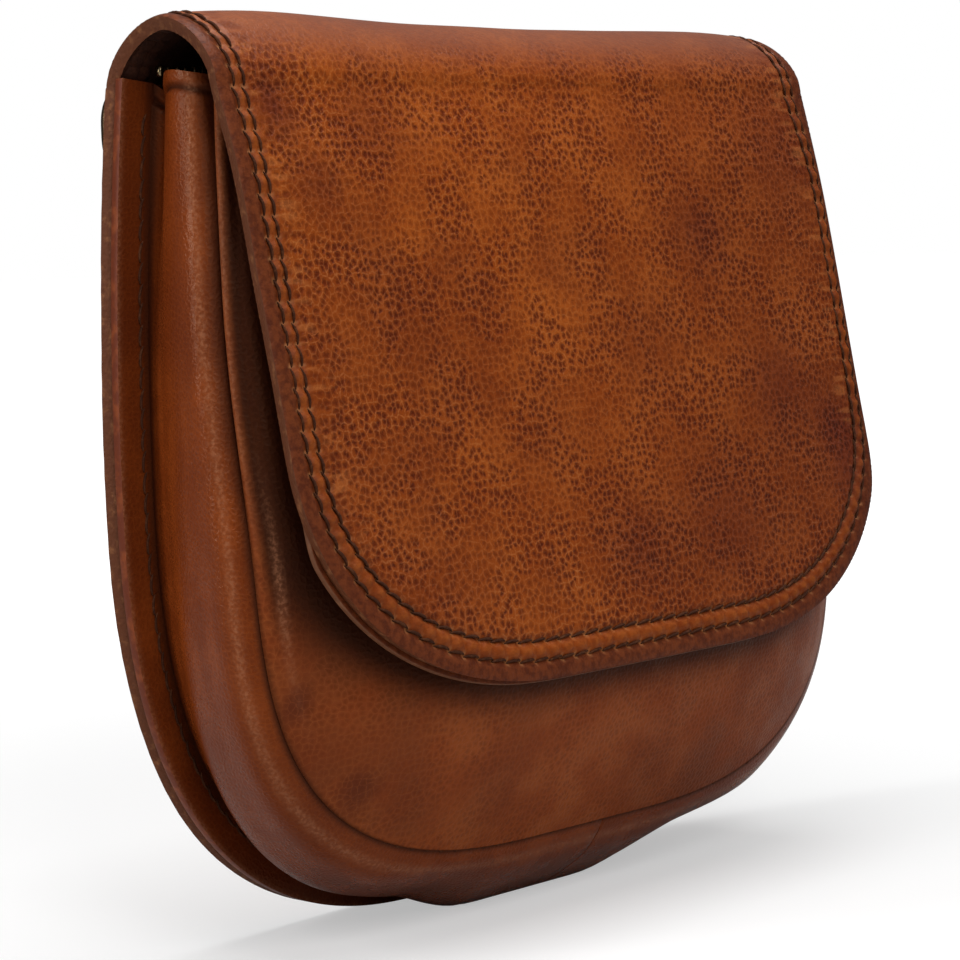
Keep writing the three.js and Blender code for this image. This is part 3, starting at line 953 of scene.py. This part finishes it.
def make_teeth():
    bm = bmesh.new()
    count = int(2 * TEETH["half"] / TEETH["pitch"])
    sizes = (TEETH["wide"], TEETH["thick"] - TEETH["shift"], TEETH["tall"])
    block = Matrix.Diagonal((*(size * MM for size in sizes), 1))
    for k in range(count):
        across = (k - (count - 1) / 2) * TEETH["pitch"]
        depth = TEETH["back"] + TEETH["thick"] / 2 + TEETH["shift"] / 2 * (-1) ** k
        middle = place(across, depth, TEETH["low"] + TEETH["tall"] / 2)
        bmesh.ops.create_cube(bm, size=1, matrix=Matrix.Translation(middle) @ block)
    bmesh.ops.bevel(
        bm, geom=bm.edges[:], offset=TEETH["bevel"] * MM, offset_type="OFFSET",
        affect="EDGES", segments=1, profile=0.5, material=-1,
    )
    return finished("zip_teeth_row", bm, ["zip_teeth"])


tape = make_tape()
cloth = tape.modifiers.new("thickness", "SOLIDIFY")
cloth.thickness = ZIP["thick"] * MM
cloth.offset = -1
teeth = make_teeth()
print("zip teeth", len(teeth.data.polygons), "faces")

# %% [markdown]
# Two rectangular rings hang on the back, near its upper corners. Each ring is a bent wire: a grid is
# rolled into a closed tube and its seams are merged. A strip of leather folds round the wire, and its
# two layers are sewn together.

# %% Rings and tabs
RING = dict(x=82.2, z=175.5, half_wide=11.3, half_tall=9, square=3, wire=1.7, off=4.7)
TAB = dict(wide=12, thick=2, low=142, meet=154, apart=0.05)
TAB_OUTER = RING["wire"] + GAP + TAB["thick"]
TAB_NEAR = RING["off"] - TAB_OUTER
TAB_FAR = TAB_NEAR + 2 * TAB["thick"]
TAB_STITCH = dict(first=3, pitch=3.2, side=4.3, foot=2.2, foot_z=1.6, sunk=0.1, length=2.9, radius=0.36)
RING_COUNT = dict(around=72, wire=14)
TAB_COUNT = dict(up=14, bend=25, slant=12, down=8, across=13)
RIGHT, BACKWARDS, UP = Vector((1, 0, 0)), Vector((0, 1, 0)), Vector((0, 0, 1))


def make_ring(name, side, node):
    around, wire = RING_COUNT["around"], RING_COUNT["wire"]
    power = 2 / RING["square"]

    def centre(t):
        c, s = math.cos(t), math.sin(t)
        wide = RING["half_wide"] * math.copysign(abs(c) ** power, c)
        return Vector((wide, 0, RING["half_tall"] * math.copysign(abs(s) ** power, s)))

    def point(i, j):
        t = 2 * math.pi * (i + 0.5) / around
        step = math.pi / around
        along = (centre(t + step) - centre(t - step)).normalized()
        roll = 2 * math.pi * j / wire
        off_wire = math.cos(roll) * BACKWARDS.cross(along) + math.sin(roll) * BACKWARDS
        p = centre(t) + RING["wire"] * off_wire
        return place(side * RING["x"], -RING["off"], RING["z"]) + p * MM

    bm = shaped_grid(around + 1, wire + 1, point)
    bmesh.ops.remove_doubles(bm, verts=bm.verts[:], dist=MERGE * MM)
    bmesh.ops.recalc_face_normals(bm, faces=bm.faces[:])
    return finished(name, bm, [node])


def tab_profile():
    """(behind the back, height) on the strip's outer face, from the bag over the wire and down again."""
    wire_z = RING["z"] - RING["half_tall"]
    points = [(TAB_NEAR, z) for z in np.linspace(TAB["low"], wire_z, TAB_COUNT["up"])[:-1]]
    for t in np.linspace(0, math.pi, TAB_COUNT["bend"]):
        points.append((RING["off"] - TAB_OUTER * math.cos(t), wire_z + TAB_OUTER * math.sin(t)))
    for s in np.linspace(0, 1, TAB_COUNT["slant"])[1:]:
        points.append((mix(RING["off"] + TAB_OUTER, TAB_FAR, smooth(s)), mix(wire_z, TAB["meet"], s)))
    return points + [(TAB_FAR, z) for z in np.linspace(TAB["meet"], TAB["low"], TAB_COUNT["down"])[1:]]


def make_tab(name, side, node):
    profile = tab_profile()
    across = np.linspace(TAB["wide"] / 2, -TAB["wide"] / 2, TAB_COUNT["across"]) + side * RING["x"]
    bm = shaped_grid(len(profile), len(across), lambda i, j: place(across[j], -profile[i][0], profile[i][1]))
    lay_flat(bm)
    return finished(name, bm, [node])


def tab_spots(side):
    """A row of stitches up each side of a tab and one across its foot."""
    x = side * RING["x"]
    heights = np.arange(TAB["low"] + TAB_STITCH["first"], TAB["meet"], TAB_STITCH["pitch"])
    foot_z = TAB["low"] + TAB_STITCH["foot_z"]
    spots = []
    for edge in (-1, 1):
        spots += [(place(x + edge * TAB_STITCH["side"], -TAB_FAR, z), UP, BACKWARDS) for z in heights]
    for edge in (-1, 1):
        spots.append((place(x + edge * TAB_STITCH["foot"], -TAB_FAR, foot_z), RIGHT, BACKWARDS))
    return spots


rings, tabs = [], []
for label, side in (("left", -1), ("right", 1)):
    rings.append(make_ring(f"ring_{label}", side, f"strap_ring_{label}"))
    tab = make_tab(f"tab_{label}", side, f"strap_tab_{label}")
    thicken(tab, TAB["thick"] - TAB["apart"], burnish=0.3)
    tabs.append(tab)
    spindle = (TAB_STITCH["sunk"], TAB_STITCH["length"], TAB_STITCH["radius"])
    threads.append(sew(f"tab_stitches_{label}", tab_spots(side), *spindle))
print("rings", [len(r.data.polygons) for r in rings], "tabs", [len(t.data.polygons) for t in tabs])

# %% [markdown]
# The finishes are all procedural. A few short helpers keep the node code readable: one adds a node and
# wires its inputs, and the rest wrap the maths, ramps and colour mixes that every leather needs.
# Colours are picked as display values from 0 to 255 and turned into the linear light that a shader
# works with.

# %% Helpers for node materials
def light(red, green, blue):
    """The standard curve of a display, undone."""
    linear = [((c / 255 + 0.055) / 1.055) ** 2.4 if c > 10 else c / 255 / 12.92 for c in (red, green, blue)]
    return (*linear, 1.0)


def add(tree, kind, inputs=None, **settings):
    node = tree.nodes.new(kind)
    for key, value in settings.items():
        setattr(node, key, value)
    for name, value in (inputs or {}).items():
        if isinstance(value, bpy.types.NodeSocket):
            tree.links.new(value, node.inputs[name])
        else:
            node.inputs[name].default_value = value
    return node


def maths(tree, operation, a, b=0.0):
    return add(tree, "ShaderNodeMath", {0: a, 1: b}, operation=operation).outputs[0]


def times(tree, a, b):
    return maths(tree, "MULTIPLY", a, b)


def vectors(tree, operation, inputs):
    return add(tree, "ShaderNodeVectorMath", inputs, operation=operation).outputs[0]


def noisy(tree, vector, scale, detail, roughness=0.5):
    inputs = {"Vector": vector, "Scale": scale, "Detail": detail, "Roughness": roughness}
    return add(tree, "ShaderNodeTexNoise", inputs).outputs


def between(tree, value, low, high, to_low=0.0, to_high=1.0):
    inputs = {"Value": value, "From Min": low, "From Max": high, "To Min": to_low, "To Max": to_high}
    return add(tree, "ShaderNodeMapRange", inputs, interpolation_type="SMOOTHSTEP").outputs[0]


def tint(tree, share, a, b, how="MIX"):
    inputs = {"Factor": share, 6: a, 7: b}
    return add(tree, "ShaderNodeMix", inputs, data_type="RGBA", blend_type=how).outputs[2]


def attribute(tree, name):
    return add(tree, "ShaderNodeAttribute", attribute_name=name).outputs["Fac"]


def flat_place(tree):
    return add(tree, "ShaderNodeAttribute", attribute_name="flat").outputs["Vector"]


def object_place(tree):
    return add(tree, "ShaderNodeTexCoord").outputs["Object"]


def new_group(name, inputs, outputs):
    """A shader group with float or vector inputs, its own input and output nodes, and named sockets."""
    group = bpy.data.node_groups.new(name, "ShaderNodeTree")
    for label, kind, value in inputs:
        socket = group.interface.new_socket(label, in_out="INPUT", socket_type=kind)
        if value is not None:
            socket.default_value = value
    for label in outputs:
        group.interface.new_socket(label, in_out="OUTPUT", socket_type="NodeSocketFloat")
    return group, add(group, "NodeGroupInput").outputs, add(group, "NodeGroupOutput").inputs


def use_group(tree, group, inputs):
    return add(tree, "ShaderNodeGroup", inputs, node_tree=group).outputs


def new_material(name):
    material = bpy.data.materials.new(name)
    material.use_nodes = True
    return material, material.node_tree, material.node_tree.nodes["Principled BSDF"]


def roughen(tree, shader, height, strength, deep):
    """Relief that is too fine for the mesh, up to a depth in mm."""
    bump = add(tree, "ShaderNodeBump", {"Height": height, "Strength": strength, "Distance": deep * MM})
    tree.links.new(bump.outputs[0], shader.inputs["Normal"])


# %% [markdown]
# Pebble grain is a net of fine raised wrinkles with a dark hollow in each mesh. It lies in the
# leather's own flat coordinates, so the cells keep their shape round every curve. Two Voronoi patterns
# with the same cells give it: the distance to the border is 0 on a wrinkle, and the distance to the
# cell's point is 0 in the hollow. Warping the coordinates with noise keeps the cells from looking like
# cut stones.

# %% Shared effects: pebble grain, tone patches and pores
VECTOR, FLOAT = "NodeSocketVector", "NodeSocketFloat"
MM_PER_METRE = 1000.0


def in_cells(tree, vector, size, per_unit):
    """Coordinates counted in cells of a size in millimetres."""
    return vectors(tree, "SCALE", {0: vector, "Scale": maths(tree, "DIVIDE", per_unit, size)})


def voronoi(tree, vector, feature):
    inputs = {"Vector": vector, "Scale": 1.0, "Randomness": 0.8}
    return add(tree, "ShaderNodeTexVoronoi", inputs, feature=feature, voronoi_dimensions="2D").outputs


def pebble_group():
    inputs = [("Flat", VECTOR, None), ("Cell", FLOAT, 2.0), ("Warp", FLOAT, 0.5)]
    group, given, out = new_group("pebble_grain", inputs, ["Hollow", "Wrinkle", "Height"])
    cells = in_cells(group, given["Flat"], given["Cell"], 1.0)
    drift = noisy(group, cells, scale=0.7, detail=2.0)["Color"]
    centred = vectors(group, "SUBTRACT", {0: drift, 1: (0.5, 0.5, 0.5)})
    pushed = vectors(group, "SCALE", {0: centred, "Scale": given["Warp"]})
    warped = vectors(group, "ADD", {0: cells, 1: pushed})
    grit = noisy(group, cells, scale=2.6, detail=3.0)["Fac"]
    frayed = between(group, grit, 0.3, 0.7, -0.05, 0.07)
    border = maths(group, "ADD", voronoi(group, warped, "DISTANCE_TO_EDGE")["Distance"], frayed)
    middle = voronoi(group, warped, "F1")
    size = between(group, middle["Color"], 0.1, 0.9, 0.44, 0.70)
    from_middle = maths(group, "DIVIDE", middle["Distance"], size)
    reached = maths(group, "ADD", from_middle, times(group, frayed, 3.0))
    hollow = maths(group, "SUBTRACT", 1.0, between(group, reached, 0.1, 1.0))
    patchy = noisy(group, cells, scale=0.12, detail=2.0)["Fac"]
    depth = between(group, patchy, 0.36, 0.60, 0.45, 1.0)
    group.links.new(times(group, hollow, depth), out["Hollow"])
    wrinkle = between(group, border, 0.0, 0.12, 1.0, 0.0)
    raised = between(group, patchy, 0.38, 0.62, 0.6, 1.0)
    group.links.new(times(group, wrinkle, raised), out["Wrinkle"])
    group.links.new(between(group, border, 0.0, 0.35, 1.0, 0.0), out["Height"])
    return group


def patches_group():
    inputs = [("Vector", VECTOR, None), ("Size", FLOAT, 30.0), ("Low", FLOAT, 0.45), ("High", FLOAT, 0.65)]
    group, given, out = new_group("tone_patches", inputs, ["Patch"])
    cells = in_cells(group, given["Vector"], given["Size"], MM_PER_METRE)
    cloud = noisy(group, cells, scale=1.0, detail=4.0, roughness=0.55)["Fac"]
    group.links.new(between(group, cloud, given["Low"], given["High"]), out["Patch"])
    return group


def pores_group():
    inputs = [("Vector", VECTOR, None), ("Size", FLOAT, 0.5)]
    group, given, out = new_group("fine_pores", inputs, ["Height"])
    cells = in_cells(group, given["Vector"], given["Size"], MM_PER_METRE)
    pores = add(group, "ShaderNodeTexVoronoi", {"Vector": cells, "Scale": 1.0}, feature="SMOOTH_F1")
    dust = noisy(group, cells, scale=0.6, detail=3.0)["Fac"]
    group.links.new(maths(group, "ADD", pores.outputs["Distance"], dust), out["Height"])
    return group


pebble, patches, pores = pebble_group(), patches_group(), pores_group()


def patch(tree, at, size, low, high):
    return use_group(tree, patches, {"Vector": at, "Size": size, "Low": low, "High": high})["Patch"]


def pored(tree, at, size):
    return use_group(tree, pores, {"Vector": at, "Size": size})["Height"]


print("groups", [g.name for g in (pebble, patches, pores)])

# %% [markdown]
# The hide is oiled and pebbled. Its grain fades towards the stitched margin and over the fold, where
# the leather is pulled smooth and shines, and a pale sheen is painted on the fold. Redder, darker clouds
# drift across it, as on any aniline hide, and a painted shade darkens the flap towards its right side
# and its foot. Painted highlights lie on the beads between the stitches and at the needle holes, and
# painted shade along the thread and in the creases.

# %% Hide leather
# Some of these are painted light: the pale fold colour is a painted sheen, the bead, needle-hole and crest
# colours are painted highlights, and the dark colours for the thread's furrow and the creases are painted
# shade
HIDE_COLOURS = dict(
    plain=(146, 65, 13), warm=(164, 80, 22), line=(196, 118, 60), hollow=(88, 25, 1), fleck=(98, 36, 10),
    fold=(138, 104, 90), rub_and_highlight=(102, 50, 27), rubbed_dark=(72, 32, 19), bead=(158, 88, 38),
    furrow_shade=(72, 26, 8), hole_highlight=(200, 138, 88), crease=(92, 32, 8), crest=(188, 112, 58),
)
CLOUD_AND_SHADE_TINT = (0.42, 0.33, 0.8, 1.0)
HIDE_SHINE = 0.10


def make_hide_leather():
    material, tree, shader = new_material("hide_grain_side")
    colour = {name: light(*value) for name, value in HIDE_COLOURS.items()}
    at, flat = object_place(tree), flat_place(tree)
    edge, fold, needle, gathers = (attribute(tree, name) for name in ("edge_mm", "fold", "needle", "gather"))

    # The grain, weaker in the stitched margin and on the fold
    inner = between(tree, edge, 7.4, 9.8, 0.2, 1.0)
    unfolded = maths(tree, "SUBTRACT", 1.0, times(tree, fold, 0.85))
    strength = times(tree, inner, unfolded)
    stretched = add(tree, "ShaderNodeMapping", {"Vector": flat, "Scale": (1.0, 0.88, 1.0)}).outputs[0]
    grain = use_group(tree, pebble, {"Flat": stretched, "Cell": 1.65, "Warp": 0.9})
    hollow = times(tree, grain["Hollow"], strength)
    wrinkle = times(tree, grain["Wrinkle"], strength)
    plain = tint(tree, patch(tree, at, 14.0, 0.35, 0.7), colour["plain"], colour["warm"])
    lines = times(tree, wrinkle, between(tree, edge, 18.0, 45.0, 0.62, 0.46))
    lined = tint(tree, lines, plain, colour["line"])
    pebbles = tint(tree, times(tree, hollow, 0.88), lined, colour["hollow"])

    # Clouds with the flap's painted shade, the bare leather of the fold with a painted sheen, and the margin
    clouds = times(tree, patch(tree, at, 42.0, 0.46, 0.70), 0.4)
    dark = maths(tree, "MAXIMUM", clouds, attribute(tree, "cloud"))
    grained = tint(tree, dark, pebbles, CLOUD_AND_SHADE_TINT, how="MULTIPLY")
    mottle = patch(tree, at, 1.5, 0.35, 0.68)
    bare = maths(tree, "SUBTRACT", 1.0, strength)
    flecks = times(tree, times(tree, mottle, bare), 0.4)
    flecked = tint(tree, flecks, grained, colour["fleck"])
    # A pale sheen painted on the fold
    sheen_painted = tint(tree, times(tree, fold, 0.30), flecked, colour["fold"])
    rub_and_highlight = tint(tree, mottle, colour["rub_and_highlight"], colour["rubbed_dark"])
    margin = tint(tree, between(tree, edge, 5.0, 3.2, 0.08, 0.85), sheen_painted, rub_and_highlight)

    # Beads, needle holes and gathers: painted highlights on beads, holes and crests, painted shade along the
    # thread and in creases
    bead_highlight_share = between(tree, mottle, 0.0, 1.0, 0.42, 0.12)
    bead_highlighted = tint(tree, times(tree, attribute(tree, "pucker"), bead_highlight_share), margin, colour["bead"])
    furrow_shade = tint(tree, between(tree, needle, 0.0, -1.0, 0.0, 0.6), bead_highlighted, colour["furrow_shade"])
    hole_highlight = tint(tree, between(tree, needle, 0.0, 1.0, 0.0, 0.6), furrow_shade, colour["hole_highlight"])
    crease_shaded = tint(tree, between(tree, gathers, 0.0, -1.0, 0.0, 0.45), hole_highlight, colour["crease"])
    crest_highlighted = tint(tree, between(tree, gathers, 0.0, 1.0, 0.0, 0.3), crease_shaded, colour["crest"])
    tree.links.new(crest_highlighted, shader.inputs["Base Color"])

    # The fold is the shiniest place
    tree.links.new(between(tree, fold, 0.0, 1.0, 0.48, 0.30), shader.inputs["Roughness"])
    shader.inputs["Specular IOR Level"].default_value = HIDE_SHINE
    relief = maths(tree, "ADD", times(tree, hollow, -0.30), times(tree, pored(tree, at, 0.5), 0.10))
    roughen(tree, shader, relief, strength=0.8, deep=0.9)
    return material


hide_leather = make_hide_leather()
print(hide_leather.name, "has", len(hide_leather.node_tree.nodes), "nodes")

# %% [markdown]
# The gusset and the front panel are thinner and smoother. They get small pores, which break up the
# shine, and tone patches. The gusset also has faint dark streaks along its strip, where it was pulled
# round the corners. The front is matter and more mottled. The dressing on both is amber, so their shine
# is warm. Painted shade and dye darken their seams and grooves, the flap's shadow is painted on the
# front under it, and painted highlights lie pale along their ridges.

# %% Gusset and front leather
WARM_SHINE = (1.0, 0.70, 0.48, 1.0)


def make_smooth_leather(name, colours, roughness, specular, cell, grain_share, patch_size, streak_share):
    material, tree, shader = new_material(name)
    colour = {part: light(*value) for part, value in colours.items()}
    at, flat, groove = object_place(tree), flat_place(tree), attribute(tree, "groove")

    # Tones, streaks and clouds
    small = patch(tree, at, patch_size / 4, 0.35, 0.7)
    even = tint(tree, small, colour["plain"], colour["warm"])
    drawn = add(tree, "ShaderNodeMapping", {"Vector": flat, "Scale": (0.14, 0.014, 1.0)}).outputs[0]
    pulled = noisy(tree, drawn, scale=1.0, detail=1.0)["Fac"]
    body = tint(tree, between(tree, pulled, 0.40, 0.62, 0.0, streak_share), even, colour["hollow"])
    clouds = times(tree, patch(tree, at, patch_size, 0.42, 0.68), 0.6)
    dark = maths(tree, "MAXIMUM", clouds, attribute(tree, "cloud"))
    clouded = tint(tree, dark, body, colour["cloud"])

    # Grain, the painted shadow under the flap, painted shade and dye in the seams, and painted highlights on
    # the ridges
    grain = use_group(tree, pebble, {"Flat": flat, "Cell": cell, "Warp": 0.8})
    lined = tint(tree, times(tree, grain["Wrinkle"], grain_share * 0.6), clouded, colour["line"])
    mottled = tint(tree, times(tree, grain["Hollow"], grain_share), lined, colour["hollow"])
    shaded = tint(tree, times(tree, attribute(tree, "flap_shadow"), 0.92), mottled, colour["flap_shadow"])
    shaded_and_dyed = tint(tree, times(tree, groove, 0.85), shaded, colour["groove"])
    # Painted highlights on the ridges, broken into specks
    specks = between(tree, patch(tree, at, 0.8, 0.36, 0.70), 0.0, 1.0, 0.10, 0.34)
    rub_and_highlight = tint(tree, times(tree, attribute(tree, "painted_highlight"), specks), shaded_and_dyed, colour["painted_highlight"])
    tree.links.new(rub_and_highlight, shader.inputs["Base Color"])

    # Seams and grooves are duller, and pores and grain break up the shine
    patchy = between(tree, small, 0.0, 1.0, roughness + 0.06, roughness - 0.04)
    tree.links.new(maths(tree, "ADD", patchy, times(tree, groove, 0.4)), shader.inputs["Roughness"])
    shader.inputs["Specular IOR Level"].default_value = specular
    shader.inputs["Specular Tint"].default_value = WARM_SHINE
    fine = times(tree, pored(tree, at, 0.6), 0.30)
    relief = maths(tree, "ADD", fine, times(tree, grain["Height"], grain_share))
    roughen(tree, shader, relief, strength=0.55, deep=0.25)
    return material


# The colour for seams and grooves is painted shade and dye, the one under the flap painted shadow, the pale
# one painted highlight
GUSSET_COLOURS = dict(
    plain=(118, 50, 15), warm=(138, 63, 22), line=(158, 82, 32), hollow=(90, 33, 8), cloud=(90, 34, 12),
    groove=(40, 12, 4), painted_highlight=(186, 128, 94), flap_shadow=(60, 24, 12),
)
FRONT_COLOURS = dict(
    plain=(136, 63, 27), warm=(152, 77, 35), line=(160, 90, 46), hollow=(90, 36, 14), cloud=(80, 34, 22),
    groove=(40, 14, 6), painted_highlight=(170, 112, 80), flap_shadow=(36, 12, 5),
)
gusset_leather = make_smooth_leather(
    "gusset_grain_side", GUSSET_COLOURS, roughness=0.24, specular=0.18,
    cell=1.3, grain_share=0.30, patch_size=36.0, streak_share=0.26,
)
front_leather = make_smooth_leather(
    "front_grain_side", FRONT_COLOURS, roughness=0.44, specular=0.10,
    cell=1.5, grain_share=0.42, patch_size=40.0, streak_share=0.0,
)
print([m.name for m in (gusset_leather, front_leather)])

# %% [markdown]
# A cut edge shows the fibres of the hide, sealed and rubbed until it is matte brown with paler specks.
# The flesh side is dark suede. Thread, tape and metal are small, so each has only the one effect that
# shows on it.

# %% Edges, flesh side, thread, tape and metal
DULL_SHINE = 0.2


def make_speckled(name, plain, speck, size, low, high, roughness, deep):
    material, tree, shader = new_material(name)
    at = object_place(tree)
    speckled = tint(tree, patch(tree, at, size, low, high), light(*plain), light(*speck))
    tree.links.new(speckled, shader.inputs["Base Color"])
    shader.inputs["Roughness"].default_value = roughness
    shader.inputs["Specular IOR Level"].default_value = DULL_SHINE
    roughen(tree, shader, pored(tree, at, size / 3), strength=0.6, deep=deep)
    return material


hide_edge = make_speckled("hide_cut_edge", (96, 50, 25), (132, 82, 48), 2.2, 0.5, 0.75, 0.6, 0.25)
lip_edge = make_speckled("lip_cut_edge", (108, 66, 42), (132, 88, 60), 2.5, 0.5, 0.8, 0.5, 0.15)
side_edge = make_speckled("side_cut_edge", (104, 42, 14), (132, 62, 24), 3.0, 0.45, 0.7, 0.42, 0.1)
flesh = make_speckled("flesh_side", (46, 20, 9), (62, 30, 14), 2.0, 0.4, 0.7, 0.85, 0.2)
waxed_thread = make_speckled("waxed_thread", (62, 30, 13), (90, 50, 26), 1.0, 0.45, 0.7, 0.85, 0.1)
tape_cloth = make_speckled("tape_cloth", (20, 17, 15), (34, 30, 27), 0.6, 0.4, 0.6, 0.9, 0.15)


def make_metal(name, bright, dull):
    material, tree, shader = new_material(name)
    tarnish = patch(tree, object_place(tree), 4.0, 0.4, 0.7)
    tree.links.new(tint(tree, tarnish, light(*bright), light(*dull)), shader.inputs["Base Color"])
    tree.links.new(between(tree, tarnish, 0.0, 1.0, 0.24, 0.42), shader.inputs["Roughness"])
    shader.inputs["Metallic"].default_value = 1.0
    return material


aged_brass = make_metal("aged_brass", (150, 132, 100), (92, 76, 54))
dark_bronze = make_metal("dark_bronze", (92, 72, 52), (58, 42, 30))
print("materials", len(bpy.data.materials))

# %% Put the finishes on
dress(hide, hide_leather, flesh, hide_edge)
dress(facing, hide_leather, flesh, lip_edge)
for tab in tabs:
    dress(tab, hide_leather, flesh, hide_edge)
for gusset in gussets:
    dress(gusset, gusset_leather, flesh, side_edge)
dress(front, front_leather, flesh, side_edge)
for thread in threads:
    dress(thread, waxed_thread)
dress(tape, tape_cloth)
dress(teeth, aged_brass)
for ring in rings:
    dress(ring, dark_bronze)
print("dressed", len([hide, facing, front, tape, teeth, *tabs, *gussets, *threads, *rings]), "pieces")

# %% [markdown]
# The stage is a pale floor that runs out of sight under a white sky, with soft lamps: a large one
# overhead for the sheen on the fold, a narrow one behind the left side for the streak of light on the
# gusset, and a weak fill from the front left.

# %% Floor, sky and lamps
WHITE, GREY = (1.0, 1.0, 1.0, 1.0), (0.5, 0.5, 0.5, 1.0)
FLOOR = dict(half=8.0, rough=0.9, near=0.15, far=0.9, near_glow=0.45)
SKY_LIGHT = 0.18
LAMP_AIM = Vector((0, 0, 0.1))


def make_floor():
    bm = bmesh.new()
    bmesh.ops.create_grid(bm, x_segments=1, y_segments=1, size=FLOOR["half"])
    mesh = bpy.data.meshes.new("floor")
    bm.to_mesh(mesh)
    bm.free()
    floor = bpy.data.objects.new("floor", mesh)
    bpy.context.scene.collection.objects.link(floor)
    material, tree, shader = new_material("pale_floor")
    shader.inputs["Base Color"].default_value = GREY
    shader.inputs["Roughness"].default_value = FLOOR["rough"]
    shader.inputs["Emission Color"].default_value = WHITE
    away = add(tree, "ShaderNodeVectorMath", {0: object_place(tree)}, operation="LENGTH").outputs["Value"]
    glow = between(tree, away, FLOOR["near"], FLOOR["far"], FLOOR["near_glow"], 1.0)
    seen = add(tree, "ShaderNodeLightPath").outputs["Is Camera Ray"]
    tree.links.new(times(tree, glow, seen), shader.inputs["Emission Strength"])
    dress(floor, material)
    floor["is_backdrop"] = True


def make_lamp(name, where, size, power):
    data = bpy.data.lights.new(name, "AREA")
    data.shape = "RECTANGLE"
    data.size, data.size_y = size
    data.energy = power
    lamp = bpy.data.objects.new(name, data)
    lamp.location = where
    lamp.rotation_euler = (LAMP_AIM - lamp.location).to_track_quat("-Z", "Y").to_euler()
    bpy.context.scene.collection.objects.link(lamp)


make_floor()
world = bpy.data.worlds.new("studio")
world.use_nodes = True
sky = world.node_tree
seen = add(sky, "ShaderNodeLightPath").outputs["Is Camera Ray"]
sky.nodes["Background"].inputs["Color"].default_value = WHITE
sky.links.new(between(sky, seen, 0.0, 1.0, SKY_LIGHT, 1.0), sky.nodes["Background"].inputs["Strength"])
bpy.context.scene.world = world
bpy.context.scene.view_settings.view_transform = "Standard"
make_lamp("overhead", (0.0, -0.1, 1.3), (1.2, 0.9), 14.5)
make_lamp("left", (-1.05, 0.5, 0.6), (0.22, 1.0), 5.5)
make_lamp("front", (-0.45, -0.85, 0.75), (0.5, 0.5), 4.6)

# %% [markdown]
# The photograph was taken from the front left, a little above the middle, with a long lens. The lens,
# the place and the three angles were fitted so that the bag's outline falls where it does in the
# picture.

# %% The camera
VIEW = dict(focus=2969.5, frame=960, sensor=36.0, clip=0.05, azimuth=0.824, elevation=0.086, roll=-0.033)
CAMERA_AT = (-502.1, 476.1, 153.7)


def make_camera():
    data = bpy.data.cameras.new("camera")
    data.sensor_width = VIEW["sensor"]
    data.lens = data.sensor_width * VIEW["focus"] / VIEW["frame"]
    data.clip_start = VIEW["clip"]
    camera = bpy.data.objects.new("camera", data)
    level, climb = VIEW["azimuth"], VIEW["elevation"]
    ahead = Vector((math.sin(level) * math.cos(climb), math.cos(level) * math.cos(climb), -math.sin(climb)))
    right = Vector((math.cos(level), -math.sin(level), 0))
    up = right.cross(ahead)
    rolled_right = math.cos(VIEW["roll"]) * right + math.sin(VIEW["roll"]) * up
    rolled_up = math.cos(VIEW["roll"]) * up - math.sin(VIEW["roll"]) * right
    turn = Matrix((rolled_right, rolled_up, -ahead)).transposed().to_4x4()
    camera.matrix_world = Matrix.Translation(place(*CAMERA_AT)) @ turn
    bpy.context.scene.collection.objects.link(camera)
    bpy.context.scene.camera = camera


make_camera()
print("lens", round(bpy.context.scene.camera.data.lens, 1), "mm")

# %% Sizes, and the end
visual_box = [list(corner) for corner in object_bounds()]
print("visual box in mm", [[round(1000 * c, 1) for c in corner] for corner in visual_box])
